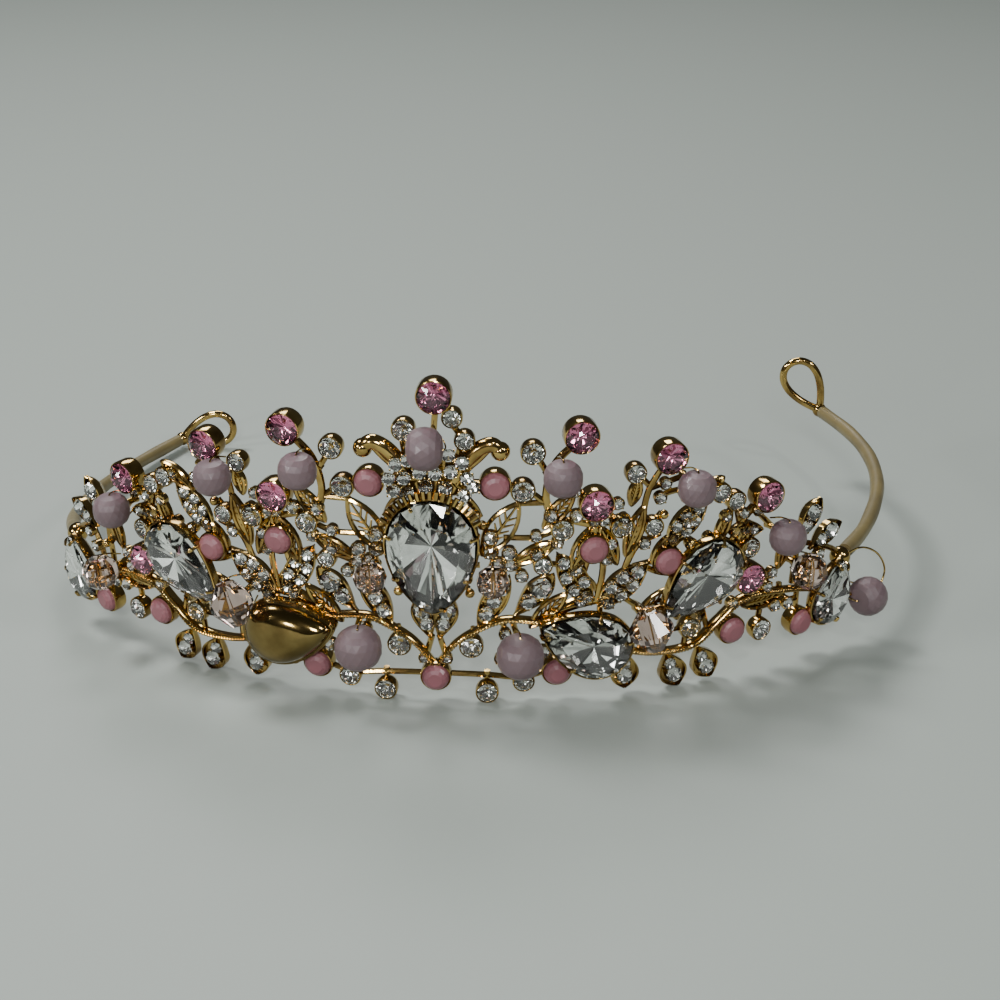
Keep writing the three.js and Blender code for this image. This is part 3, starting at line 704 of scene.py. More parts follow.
def dressed(name: str, skin: Surface, materials: list[bpy.types.Material],
            nodes: tuple[str, ...] = (), crease: float = 38.0) -> bpy.types.Object:
    """A mesh object from a surface, riding on the tiara.

    Args:
        name: the piece's name.
        skin: its surface, in millimetres.
        materials: its materials, in the order of the faces' material numbers.
        nodes: the frame's nodes that it stands for.
        crease: edges sharper than this many degrees stay sharp.

    Returns:
        The object.
    """
    mesh = bpy.data.meshes.new(name)
    corners = np.where(skin.faces[:, 3] == TRIANGLE, 3, 4)
    loops = skin.faces[skin.faces != TRIANGLE]
    mesh.vertices.add(len(skin.points))
    mesh.vertices.foreach_set("co", (skin.points * MM).astype(np.float32).ravel())
    mesh.loops.add(len(loops))
    mesh.loops.foreach_set("vertex_index", loops.astype(np.int32))
    mesh.polygons.add(len(corners))
    starts = np.concatenate([[0], np.cumsum(corners)[:-1]])
    mesh.polygons.foreach_set("loop_start", starts.astype(np.int32))
    mesh.polygons.foreach_set("loop_total", corners.astype(np.int32))
    mesh.polygons.foreach_set("use_smooth", skin.smooth)
    mesh.polygons.foreach_set("material_index", skin.finish.astype(np.int32))
    for material in materials:
        mesh.materials.append(material)
    mesh.update(calc_edges=True)
    mesh.validate()
    if skin.smooth.any():
        mesh.set_sharp_from_angle(angle=radians(crease))
    piece = bpy.data.objects.new(name, mesh)
    bpy.context.scene.collection.objects.link(piece)
    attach(piece, BODY)
    if nodes:
        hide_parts(*nodes)
    log.info("%s: %d faces", name, len(corners))
    return piece


# Where things stand, as (side, lift) shares of the half-oval


@dataclass(frozen=True)
class Spot:
    """A stone or bead: its place, its twin's where that isn't its mirror image, and its size.

    Attributes:
        name: the start of its nodes' endings.
        side: share of the spread.
        lift: share of the rise.
        twin: whether it stands on both sides.
        left: the twin's place where it differs.
        size: a share of the usual size.
    """

    name: str
    side: float
    lift: float
    twin: bool = True
    left: Place | None = None
    size: float = 1.0

    def named(self) -> list[tuple[str, Place]]:
        """The node endings and places."""
        if not self.twin:
            return [(self.name, (self.side, self.lift))]
        return [(f"{self.name}_right", (self.side, self.lift)),
                (f"{self.name}_left", self.left or (-self.side, self.lift))]

    def places(self) -> list[Place]:
        """Its place, and its twin's."""
        return [place for _, place in self.named()]


def clear_spots(rows: list[tuple[float, ...]], twin: bool) -> list[Spot]:
    """Clear stones from (side, lift, size) rows."""
    return [Spot("clear", side, lift, twin, size=size) for side, lift, size in rows]


PINK_SPOTS = [Spot("top", 0.01, 1.01, twin=False), Spot("inner", 0.308, 0.88),
              Spot("middle", 0.503, 0.79), Spot("outer", 0.755, 0.61), Spot("low", 0.345, 0.66),
              Spot("vine", 0.728, 0.34)]
CABOCHON_SPOTS = [Spot("foot", 0, 0.09, twin=False), Spot("crown", 0.132, 0.73),
                  Spot("heart", 0.345, 0.51), Spot("shoulder", 0.517, 0.445),
                  Spot("vine", 0.696, 0.165), Spot("end", 0.905, 0.125), Spot("base", 0.272, 0.104)]
CLEAR_SPOTS = clear_spots([(-0.055, 0.9, 1), (0.045, 0.94, 0.85), (0.07, 0.87, 0.85)], False)
CLEAR_SPOTS += clear_spots([
    (0.21, 0.83, 1.05), (0.19, 0.71, 1.05), (0.08, 0.195, 1.05), (0.115, 0.036, 1),
    (0.197, 0.072, 0.95), (0.405, 0.575, 1), (0.43, 0.745, 0.9), (0.478, 0.565, 0.85),
    (0.275, 0.58, 1), (0.235, 0.465, 0.8), (0.635, 0.645, 0.9), (0.675, 0.61, 0.9),
    (0.725, 0.44, 0.95), (0.782, 0.14, 1.05), (0.585, 0.2, 1)], True)
TINY_SPOTS = clear_spots([
    (0.123, 0.558, 1), (0.123, 0.511, 1), (0.163, 0.506, 1), (0.166, 0.467, 0.85),
    (0.141, 0.472, 0.85), (0.135, 0.43, 0.8), (0.305, 0.62, 0.9), (0.25, 0.625, 0.9),
    (0.22, 0.56, 0.8), (0.3, 0.7, 0.8), (0.365, 0.6, 0.85), (0.59, 0.47, 0.8), (0.615, 0.5, 0.8),
    (0.655, 0.56, 0.8), (0.7, 0.56, 0.8), (0.82, 0.21, 0.9), (0.79, 0.285, 0.8),
    (0.86, 0.205, 0.9), (0.93, 0.3, 0.8), (0.95, 0.345, 0.8), (0.145, 0.15, 0.8),
    (0.24, 0.17, 0.9), (0.155, 0.235, 0.8), (0.665, 0.33, 0.8), (0.695, 0.255, 0.9),
    (0.41, 0.6, 0.75), (0.49, 0.655, 0.85), (0.545, 0.665, 0.85), (0.5, 0.7, 0.8),
    (0.222, 0.5, 0.85), (0.19, 0.43, 0.85), (0.325, 0.53, 0.85), (0.345, 0.6, 0.8),
    (0.385, 0.52, 0.8), (0.375, 0.47, 0.8), (0.395, 0.65, 0.8), (0.265, 0.535, 0.8),
    (0.46, 0.51, 0.8), (0.57, 0.49, 0.8), (0.56, 0.56, 0.8), (0.61, 0.66, 0.8), (0.74, 0.56, 0.8),
    (0.8, 0.33, 0.8), (0.025, 0.15, 0.75), (0.385, 0.32, 0.8), (0.32, 0.335, 0.8)], True)


@dataclass(frozen=True)
class LeafRow:
    """A leaf.

    Attributes:
        root: the place of its root.
        tip: the place of its tip.
        width: its width as a share of its length.
        kind: how it is filled.
        stones: how many stones a set one holds.
        depth: the greatest depth of a set one.
    """

    root: Place
    tip: Place
    width: float
    kind: LeafKind = LeafKind.SET
    stones: int = 6
    depth: float = 1.5

    def twins(self) -> list["LeafRow"]:
        """The leaf and its mirror image."""
        return [self, replace(self, root=mirrored([self.root])[0], tip=mirrored([self.tip])[0])]


OPEN, BLADE = LeafKind.OPEN, LeafKind.BLADE
LEAVES = [
    LeafRow((0.105, 0.5), (0.182, 0.665), 0.4, OPEN),
    LeafRow((0.172, 0.47), (0.265, 0.535), 0.3, OPEN),
    LeafRow((0.171, 0.29), (0.262, 0.43), 0.42, stones=2),
    LeafRow((0.095, 0.26), (0.165, 0.43), 0.4, stones=3),
    LeafRow((0.348, 0.318), (0.265, 0.5), 0.4),
    LeafRow((0.36, 0.312), (0.472, 0.44), 0.48),
    LeafRow((0.418, 0.475), (0.456, 0.63), 0.28, OPEN),
    LeafRow((0.512, 0.49), (0.604, 0.632), 0.46),
    LeafRow((0.636, 0.47), (0.668, 0.58), 0.3, BLADE),
    LeafRow((0.662, 0.505), (0.762, 0.49), 0.48, stones=3),
    LeafRow((0.87, 0.41), (0.93, 0.545), 0.48, stones=2, depth=1.9),
    LeafRow((0.91, 0.373), (1.015, 0.435), 0.48, stones=2, depth=1.9),
    LeafRow((0.725, 0.235), (0.85, 0.235), 0.3, BLADE),
    LeafRow((0.008, 0.21), (0.036, 0.36), 0.48, stones=2),
    LeafRow((0.546, 0.195), (0.625, 0.24), 0.5, stones=2),
    LeafRow((0.235, 0.585), (0.3, 0.69), 0.32, OPEN),
    LeafRow((0.56, 0.62), (0.64, 0.69), 0.36, OPEN),
    LeafRow((0.425, 0.64), (0.44, 0.72), 0.4, BLADE),
    LeafRow((0.7, 0.4), (0.71, 0.51), 0.34, OPEN),
    LeafRow((0.82, 0.34), (0.85, 0.45), 0.34, OPEN),
    LeafRow((0.21, 0.255), (0.29, 0.36), 0.3, OPEN),
    LeafRow((0.3, 0.44), (0.345, 0.58), 0.34, OPEN),
    LeafRow((0.4, 0.45), (0.36, 0.575), 0.34, BLADE),
    LeafRow((0.46, 0.28), (0.56, 0.34), 0.34, OPEN),
    LeafRow((0.6, 0.3), (0.575, 0.4), 0.34, BLADE),
    LeafRow((0.48, 0.44), (0.535, 0.53), 0.34, OPEN),
]
DROPS = [LeafRow((0.428, 0.155), (0.432, 0.022), 0.68, stones=2, depth=2.2),
         LeafRow((0.527, 0.133), (0.566, 0.004), 0.66, stones=2, depth=2.2),
         LeafRow((0.605, 0.135), (0.652, 0.014), 0.66, stones=2, depth=2.2)]

# The stones of a set leaf, as (share of its half width, share of its length, size)
LEAF_SEATS = {
    2: [(0, 0.37, 0.8), (0, 0.68, 1.04)],
    3: [(0, 0.25, 1), (0, 0.5, 1), (0, 0.74, 1)],
    6: [(0, 0.16, 1), (-0.46, 0.35, 1), (0.46, 0.38, 1), (-0.45, 0.58, 1), (0.45, 0.61, 1),
        (0, 0.8, 1)],
}

VINES = [[(0, 0.12), (0.045, 0.2), (0.085, 0.24), (0.15, 0.28), (0.24, 0.27)],
         [(0.4, 0.16), (0.5, 0.13), (0.6, 0.135), (0.66, 0.2), (0.725, 0.26), (0.86, 0.25),
          (0.975, 0.21)]]
STRIPS = [[(0.27, 0.535), (0.223, 0.485), (0.16, 0.458), (0.12, 0.47)],
          [(0.31, 0.86), (0.262, 0.79), (0.24, 0.68), (0.27, 0.58)],
          [(0.503, 0.77), (0.465, 0.68), (0.45, 0.56), (0.42, 0.43)],
          [(0.1, 0.62), (0.088, 0.655), (0.06, 0.695), (0, 0.715)],
          [(0.755, 0.6), (0.7, 0.52), (0.66, 0.44), (0.6, 0.42)],
          [(0.37, 0.33), (0.3, 0.31), (0.235, 0.268)],
          [(0.36, 0.33), (0.37, 0.45), (0.35, 0.57), (0.3, 0.6)]]
LONE_STEMS = [[(0.01, 0.96), (0, 0.8)], [(0.028, 0.94), (0.06, 0.87), (0.05, 0.78)],
              [(-0.055, 0.9), (-0.06, 0.86), (-0.05, 0.78)], [(0.132, 0.73), (0.06, 0.73)],
              [(-0.132, 0.73), (-0.06, 0.73)], [(1.082, 0.175), (1.05, 0.29)]]
TWIN_STEMS = [
    [(0.308, 0.86), (0.255, 0.78), (0.24, 0.66), (0.27, 0.58)],
    [(0.21, 0.83), (0.24, 0.76)],
    [(0.265, 0.78), (0.235, 0.75)],
    [(0.132, 0.73), (0.19, 0.71), (0.24, 0.66)],
    [(0.43, 0.745), (0.468, 0.69)],
    [(0.755, 0.6), (0.7, 0.52), (0.69, 0.42)],
    [(0.345, 0.65), (0.3, 0.61), (0.275, 0.58), (0.224, 0.55), (0.15, 0.55)],
    [(0.728, 0.34), (0.745, 0.26)],
    [(0.345, 0.51), (0.33, 0.43)],
    [(0.517, 0.445), (0.44, 0.43)],
    [(0.905, 0.125), (0.9, 0.25)],
    [(0.115, 0.036), (0.115, 0.1)],
    [(0.08, 0.195), (0.085, 0.25)],
    [(0.478, 0.565), (0.45, 0.56)],
    [(0.272, 0.104), (0.27, 0.2)],
    [(0, 0.09), (0.115, 0.085), (0.197, 0.075), (0.272, 0.104)],
    [(0.405, 0.575), (0.43, 0.5)],
    [(0.235, 0.465), (0.3, 0.44), (0.36, 0.36), (0.37, 0.22)],
    [(0.178, 0.66), (0.235, 0.66)],
    [(0.24, 0.5), (0.178, 0.46), (0.1, 0.5)],
    [(0.5, 0.53), (0.45, 0.5), (0.42, 0.42)],
    [(0.635, 0.645), (0.675, 0.61), (0.7, 0.52)],
    [(0.66, 0.51), (0.65, 0.46)],
    [(0.725, 0.44), (0.7, 0.5)],
    [(0.782, 0.14), (0.79, 0.25)],
    [(0.585, 0.2), (0.58, 0.13)],
    [(0.755, 0.535), (0.82, 0.45), (0.875, 0.4), (0.88, 0.26)],
    [(0.861, 0.35), (0.877, 0.33)],
    [(0.838, 0.275), (0.84, 0.25)],
    [(0.875, 0.4), (0.93, 0.38), (1.05, 0.29), (0.98, 0.2)],
    [(0.42, 0.33), (0.46, 0.28), (0.47, 0.22), (0.47, 0.14)],
    [(0.46, 0.43), (0.5, 0.4), (0.56, 0.38)],
    [(0.184, 0.21), (0.17, 0.275)],
    [(0.156, 0.222), (0.15, 0.27)],
    [(0.13, 0.435), (0.15, 0.42)],
    [(0.1, 0.62), (0.03, 0.57), (0.105, 0.5)],
    [(0.075, 0.38), (0.015, 0.45), (0.1, 0.46)],
    [(0.33, 0.1), (0.33, 0.21), (0.42, 0.155)],
    [(0.592, 0.374), (0.64, 0.17)],
    [(0.008, 0.22), (0.02, 0.16)],
    [(0.547, 0.71), (0.465, 0.68)],
    [(0.79, 0.49), (0.755, 0.535)],
    [(0.6, 0.63), (0.56, 0.52), (0.5, 0.44)],
    [(0.3, 0.7), (0.345, 0.66), (0.405, 0.575)],
    [(0.82, 0.21), (0.86, 0.205), (0.9, 0.2)],
    [(0.145, 0.15), (0.24, 0.17), (0.27, 0.2)],
    [(0.8, 0.33), (0.79, 0.285), (0.745, 0.26)],
    [(0.95, 0.345), (0.93, 0.3), (0.92, 0.24)],
    [(0.49, 0.655), (0.545, 0.665), (0.6, 0.63)],
    [(0.385, 0.32), (0.32, 0.335), (0.27, 0.3)],
    [(0.19, 0.43), (0.178, 0.46)],
    [(0.5, 0.6), (0.478, 0.565)],
]
KNOBS = [(0.092, 0.633), (0.078, 0.375), (0.33, 0.1), (0.105, 0.6), (0.26, 0.3), (0.66, 0.3),
         (0.62, 0.44), (0.5, 0.6), (0.56, 0.43), (0.88, 0.33)]
END_WIRE = [(1.05, 0.3), (1.085, 0.325), (1.125, 0.3), (1.148, 0.24), (1.128, 0.178)]
END_WIRE_OUT = [0.8, 2.2, 3.6, 4.6, 4.9]
HORN = [(0.05, 0.75), (0.072, 0.8), (0.098, 0.838), (0.125, 0.852), (0.143, 0.832)]
FAN_CORNERS = [(-0.083, 0.715), (-0.06, 0.8), (0, 0.84), (0.06, 0.8), (0.083, 0.715), (0, 0.69)]
FAN_STONES = [(-0.054, 0.758), (-0.048, 0.712), (-0.01, 0.734), (0.03, 0.732), (0.042, 0.782),
              (0.07, 0.71), (-0.022, 0.778), (0.075, 0.762), (-0.07, 0.8), (0.01, 0.775),
              (-0.077, 0.716), (0.065, 0.81), (-0.045, 0.815), (0.038, 0.835), (0.008, 0.825),
              (-0.086, 0.755), (0.088, 0.735), (-0.03, 0.85)]


@dataclass(frozen=True)
class PearRow:
    """A pear stone.

    Attributes:
        name: the end of its node's name.
        side: its share of the spread.
        lift: its share of the rise.
        turn: its turn in degrees.
        width: its width.
        length: its length.
        mains: how many main facets it has.
        metal: whether it is a plain gilt dome.
        full: how rounded its tip is, from 0 for a teardrop to 1 for an ellipse.
    """

    name: str
    side: float
    lift: float
    turn: float
    width: float
    length: float
    mains: int = 8
    metal: bool = False
    full: float = 0.25

    @property
    def back(self) -> float:
        """Half the depth of its pointed back."""
        return self.width * 0.17

    @property
    def out(self) -> float:
        """How far its widest line stands in front of the panel."""
        return self.back + TRAY_DEPTH


PEARS = [PearRow("centre", 0, 0.514, 0, 13, 18, mains=10, full=0.5),
         PearRow("upper_right", 0.592, 0.374, -50, 10, 14.5),
         PearRow("upper_left", -0.592, 0.374, 50, 10, 14.5),
         PearRow("lower_right", 0.33, 0.21, -116, 10, 14.5),
         PearRow("lower_left", -0.325, 0.22, 104, 10, 14.5, metal=True),
         PearRow("end_right", 0.993, 0.205, 165, 8, 10.5),
         PearRow("end_left", -0.993, 0.205, -165, 8, 10.5)]


@dataclass(frozen=True)
class BeadRow:
    """A wired bead.

    Attributes:
        spot: its place.
        radius: its radius.
        half: half its length.
        across: whether its bore runs level.
        proud: how much further out it stands than usual, as a share of its radius.
        tilt: its turn in degrees.
    """

    spot: Spot
    radius: float
    half: float
    across: bool = False
    proud: float = 0.0
    tilt: float = 0.0


MAUVE_BEADS = [
    BeadRow(Spot("centre", -0.005, 0.878, twin=False), 3.15, 2.6, across=True),
    BeadRow(Spot("inner", 0.265, 0.78), 2.85, 2.5),
    BeadRow(Spot("middle", 0.547, 0.71, left=(-0.461, 0.72)), 2.85, 2.5),
    BeadRow(Spot("outer", 0.786, 0.49, left=(-0.761, 0.52)), 2.85, 2.5),
    BeadRow(Spot("large", 0.184, 0.21, left=(-0.156, 0.222)), 3.55, 3.05),
    BeadRow(Spot("end", 1.082, 0.175, twin=False), 3.15, 2.6, across=True)]
PEACH_BEADS = [
    BeadRow(Spot("bicone", 0.456, 0.283, left=(-0.428, 0.33)), 3.4, 3.4, proud=0.4, tilt=16),
    BeadRow(Spot("inner", 0.127, 0.45), 2.5, 2.125),
    BeadRow(Spot("outer", 0.861, 0.35, left=(-0.838, 0.275)), 2.9, 2.465)]


# The gilt front


# A set leaf's section: x = a half - b wall and z = top + c - d depth, for each (a, b, c, d)
LEAF_SECTION = [(1, 0, 0, 0), (1, 0.5, 0.08, 0), (1, 1, 0, 0), (0.97, 0.97, -0.62, 0),
                (0, 0, -0.7, 0), (-0.97, -0.97, -0.62, 0), (-1, -1, 0, 0), (-1, -0.5, 0.08, 0),
                (-1, 0, 0, 0), (-0.97, 0, 0, 0.55), (-0.55, 0, 0, 0.95), (0, 0, 0, 1.05),
                (0.55, 0, 0, 0.95), (0.97, 0, 0, 0.55)]
LEAF_TOP = 0.55

# Cups round a stone, their lips at z = 0, and the posts behind the beads, for turned()
ROUND_CUP = [(0.3, 0, 0, 1), (0.75, 0, 0.1, 1), (1, 0.08, 0.5, 1), (1, 0.27, 1.1, 1),
             (1, 0.29, -0.2, 0), (1, 0.24, 0, 0), (1, 0.12, 0.06, 0), (1, 0.02, -0.03, 0),
             (1, 0, -0.4, 0), (0.6, 0, -1.25, 0)]
LOW_CUP = [(0.4, 0, 0, 1), (1, 0.1, 0.4, 1), (1, 0.2, -0.1, 0), (1, 0.1, 0.05, 0),
           (1, -0.02, -0.05, 0), (0.6, 0, -0.6, 0)]
POST = [(0, 0.7, -0.5, 0), (0, 0.55, 0.2, 0), (0, 0.5, -0.3, -1), (0, 0.75, 0, -1)]

# A tray: the pear's outline grown by g and scaled by s, at height c - d depth, for (s, g, c, d)
TRAY = [(0.55, 0.3, 0, 1), (0.8, 0.4, 0.3, 1), (1, 0.42, 1.2, 1), (1, 0.55, -0.7, 0),
        (1, 0.5, -0.3, 0), (1, 0.3, -0.2, 0), (1, 0.02, -0.5, 0), (0.6, 0, 1.1, 1)]

# A claw: (distance outside the stone's edge, height)
CLAW = [(0.5, -1.2), (0.42, 0.0), (0.12, 0.42), (-0.4, 0.66)]
LARGE_PEAR = 16

# Where an open leaf's side veins start, as shares of its length
VEIN_ROOTS = (0.14, 0.27, 0.4, 0.53, 0.66)

# The fan's plate: its outline scaled, and how far out that ring lies
FAN_RINGS = ((0.85, -0.5), (1, -0.2), (1, 1.1), (0.92, 1.45))


# How much wider and longer than the centre pear the ribs of its arc begin and end
ARC_SPAN = (1.0, 3.4)

# Along a horn: shares of its length, and its radius there
HORN_TAPER = ([0, 0.55, 1], [1.3, 1.2, 1.15])


@dataclass
class GiltFront:
    """The soldered metal of the front: wires, leaves, cups, trays, fan and horns.

    Attributes:
        gold: its material.
        ledge_radius: half the height of a vine's ledge.
        ledge_flat: its half depth as a share of that.
        ledge_out: how far it stands out from the panel.
        band_radius: half the width of a flat band.
        band_flat: its half thickness as a share of that.
        stem_radius: the plain stems.
        rope_radius: one bead of a vine's beaded edge.
        rope_pitch: from bead to bead.
        rim_radius: the wire round an open leaf.
        midrib_radius: an open leaf's middle vein at its root.
        vein_radius: one of its side veins at its root.
        wall: the wall of a set leaf.
        pink_cup: depth of the cups of the pink stones.
        cabochon_cup: depth of the cabochons' cups.
        clear_cup: depth of the clear stones' cups.
        low_cup: depth of the smallest stones' cups.
        claw_radius: a claw of a tray.
        claw_tip: the grain at its end.
        lip_radius: the wire round the gilt dome.
        horn_ball: the ball at a horn's end.
        horn_rib: the thin rib beside a horn, its ends inside it.
        knob_radius: a plain knob.
        arc_ribs: how many ribs the arc over the centre pear has.
        arc_reach: the angle from its middle to its last rib.
        arc_rib_radius: one of its ribs.
    """

    gold: bpy.types.Material
    ledge_radius: float = 0.46
    ledge_flat: float = 2.2
    ledge_out: float = 0.3
    band_radius: float = 0.55
    band_flat: float = 0.6
    stem_radius: float = 0.48
    rope_radius: float = 0.3
    rope_pitch: float = 0.5
    rim_radius: float = 0.36
    midrib_radius: float = 0.34
    vein_radius: float = 0.24
    wall: float = 0.3
    pink_cup: float = 3.2
    cabochon_cup: float = 2.6
    clear_cup: float = 2.4
    low_cup: float = 1.4
    claw_radius: float = 0.27
    claw_tip: float = 0.33
    lip_radius: float = 0.34
    horn_ball: float = 1.45
    horn_rib: float = 0.45
    knob_radius: float = 0.75
    arc_ribs: int = 19
    arc_reach: float = 0.95
    arc_rib_radius: float = 0.36

    def vines(self) -> Surface:
        """The vines, level ledges with a row of fine beads along the front edge, and the bands."""
        parts = []
        bead = ball(self.rope_radius, sides=7, rows=5)
        for row in VINES:
            for places in (row, mirrored(row)):
                parts.append(PANEL.wire(places, self.ledge_radius, sides=12, per_span=10,
                                        out=self.ledge_out, flat=self.ledge_flat))
                path = evenly(smooth_path(PANEL.points(places), 12), self.rope_pitch)
                outward = PANEL.radial(path)
                edge = self.ledge_out + self.ledge_radius * (self.ledge_flat - 0.1)
                seat = path + outward * edge - UP * self.rope_radius * 0.4
                parts.append(bead.at(seat))
        for row in STRIPS:
            for places in (row, mirrored(row)):
                parts.append(PANEL.wire(places, self.band_radius, sides=10, per_span=8, out=0.35,
                                        flat=self.band_flat))
        return merged(parts)

    def stems(self) -> Surface:
        """Plain round stems."""
        rows = LONE_STEMS + TWIN_STEMS + [mirrored(row) for row in TWIN_STEMS]
        return merged([PANEL.wire(row, self.stem_radius, sides=8, per_span=7) for row in rows])

    def leaf_frame(self, row: LeafRow) -> tuple[np.ndarray, np.ndarray, float]:
        """A leaf's place in space.

        Args:
            row: where it runs.

        Returns:
            Its axes as columns (x across, y to its tip, z out), its root and its length.
        """
        start, tip = PANEL.points([row.root, row.tip])
        outward = PANEL.frames([tuple(np.mean([row.root, row.tip], axis=0))])[0][0][:, 2]
        length = float(np.linalg.norm(tip - start))
        along = (tip - start) / length
        across = unit(np.cross(along, outward))
        return np.stack([across, along, np.cross(across, along)], axis=-1), start, length

    def hull(self, length: float, width: float, depth: float, skew: float = 1.0) -> Surface:
        """A set leaf: a boat of half width w/2 sin(pi s^k)^0.75 at s, with a thin rim and a keel.

        Args:
            length: from root to tip.
            width: its greatest width w.
            depth: its greatest depth.
            skew: the power k; over 1, the leaf is widest nearer to its tip.

        Returns:
            The leaf, its root at the origin.
        """
        share = np.linspace(0.0, 1.0, 17)[:, None]
        rise = np.maximum(np.sin(pi * share**skew), 0.02)
        half = width / 2 * rise**0.75
        wall = np.minimum(self.wall, half * 0.4)
        a, b, c, d = np.array(LEAF_SECTION, float).T
        across = half * a - wall * b
        out = LEAF_TOP * depth + c - depth * rise**0.5 * d
        along = np.broadcast_to(length * share, across.shape)
        return sheath(np.stack([across, along, out], axis=-1))

    def rim(self, length: float, width: float, out: float) -> Surface:
        """The wire round a leaf, x = 2 w s (1 - s) on one side and its mirror on the other.

        Args:
            length: from root to tip.
            width: the width w.
            out: how far in front of the leaf's own plane it runs.

        Returns:
            The ring of wire.
        """
        share = (1 - np.cos(np.linspace(0, pi, 13))) / 2
        side = 2 * width * share * (1 - share)
        ring = np.concatenate([np.column_stack([side, share * length]),
                               np.column_stack([-side, share * length])[-2:0:-1]])
        return tube(level(ring, out), self.rim_radius, closed=True, flat=1.5)

    def vein(self, start: Place, end: Place, out: float, radius: float) -> Surface:
        """A straight vein on a leaf that thins towards its end."""
        path = np.linspace([*start, out], [*end, out], 5)
        return tube(path, np.linspace(radius, radius * 0.55, 5), sides=6, reference=UP)

    def veined(self, row: LeafRow, length: float) -> list[Surface]:
        """A pierced or plain leaf with its veins; a plain one has a web behind them.

        Args:
            row: the leaf.
            length: from root to tip.

        Returns:
            Its wires, and its web if it has one.
        """
        width = row.width * length
        parts = [self.rim(length, width, 0.5),
                 self.vein((0, 0), (0, length * 0.94), 0.6, self.midrib_radius)]
        for share in VEIN_ROOTS:
            reach = 1.3 * width * share * (1 - share)
            rise = length * min(0.93, share + 0.14)
            for hand in (1, -1):
                parts.append(self.vein((0, length * share), (hand * reach, rise), 0.55,
                                       self.vein_radius))
        if row.kind is BLADE:
            parts.append(self.hull(length, width * 0.96, 0.7))
        return parts

    def leaf(self, row: LeafRow) -> tuple[Surface, list[Seat]]:
        """One leaf of its kind.

        Args:
            row: where it runs and what fills it.

        Returns:
            The metal, and its stones' seats: axes, place and radius.
        """
        basis, origin, length = self.leaf_frame(row)
        seats = []
        if row.kind is not LeafKind.SET:
            parts = self.veined(row, length)
        else:
            width = row.width * length
            parts = [self.hull(length, width, row.depth, 1.4 if row.stones == 2 else 1.0)]
            # A stone's radius is the smaller of what the leaf's width and length have room for
            if row.stones < 6:
                radius = min(width / 2 - self.wall, length * (0.34 / row.stones + 0.01))
            else:
                radius = min((width - 2 * self.wall) / 3.7, length * 0.13)
            for across, along, size in LEAF_SEATS[row.stones]:
                spot = np.array([across * width / 2, along * length, row.depth * LEAF_TOP - 0.02])
                seats.append((basis, origin + basis @ spot, radius * size))
                parts.append(grains(radius * size).at(spot))
        return merged(parts).copies(basis[None], origin[None]), seats

    def leaves(self) -> tuple[Surface, list[Seat]]:
        """All the leaves and drops, and the seats of their stones."""
        made = [self.leaf(twin) for row in LEAVES + DROPS for twin in row.twins()]
        return merged([shape for shape, _ in made]), [seat for _, held in made for seat in held]

    def cups(self) -> Surface:
        """The cups of the round stones, and the low ones of the smallest."""
        parts = []
        for spots, radius, depth, out in (
                (PINK_SPOTS, PINK_RADIUS, self.pink_cup, PINK_OUT),
                (CABOCHON_SPOTS, CABOCHON_RADIUS, self.cabochon_cup, CABOCHON_OUT)):
            places = [place for spot in spots for place in spot.places()]
            parts.append(PANEL.put(turned(ROUND_CUP, radius, depth, 28), places, out))
        for spot in CLEAR_SPOTS:
            cup = turned(ROUND_CUP, CLEAR_RADIUS * spot.size, self.clear_cup, 28)
            parts.append(PANEL.put(cup, spot.places(), CLEAR_OUT))
        for spot in TINY_SPOTS:
            radius = TINY_RADIUS * spot.size
            cup = turned(LOW_CUP, radius, self.low_cup, 14)
            parts.append(PANEL.put(merged([cup, grains(radius)]), spot.places(), TINY_OUT))
        return merged(parts)

    def claws(self, row: PearRow, steps: int = 240) -> list[Surface]:
        """The claws of a pear, each bent over its edge and ending in a grain.

        Args:
            row: the pear.
            steps: how finely its edge is divided.

        Returns:
            The claws, in the stone's own frame.
        """
        parts = []
        ring = pear_outline(row, 0, steps)
        count = 8 if row.length > LARGE_PEAR else 6
        for share in (np.arange(count) + 0.5) / count:
            k = int(round(share * steps))
            run = ring[(k + 1) % steps] - ring[k - 1]
            normal = unit(np.array([run[1], -run[0]]))
            path = smooth_path(np.array([[*(ring[k] + normal * grow), out] for grow, out in CLAW]), 3)
            side = np.array([-normal[1], normal[0], 0])
            tip = ball(self.claw_tip, 8, 5).at(path[-1])
            parts += [tube(path, self.claw_radius, 7, side), tip]
        return parts

    def tray(self, row: PearRow) -> Surface:
        """The tray of a pear, with its claws or, round the gilt dome, a lip of wire.

        Args:
            row: the pear.

        Returns:
            The tray in its place.
        """
        rings = [level(pear_outline(row, grow, 56) * scale, height - share * row.out)
                 for scale, grow, height, share in TRAY]
        parts = [sheath(np.array(rings))]
        if row.metal:
            outline = pear_outline(row, 0.25, 72)[2:-1]
            parts.append(tube(level(outline, -0.1), self.lip_radius, closed=True))
        else:
            parts += self.claws(row)
        return PANEL.put(merged(parts), [(row.side, row.lift)], row.out, row.turn)

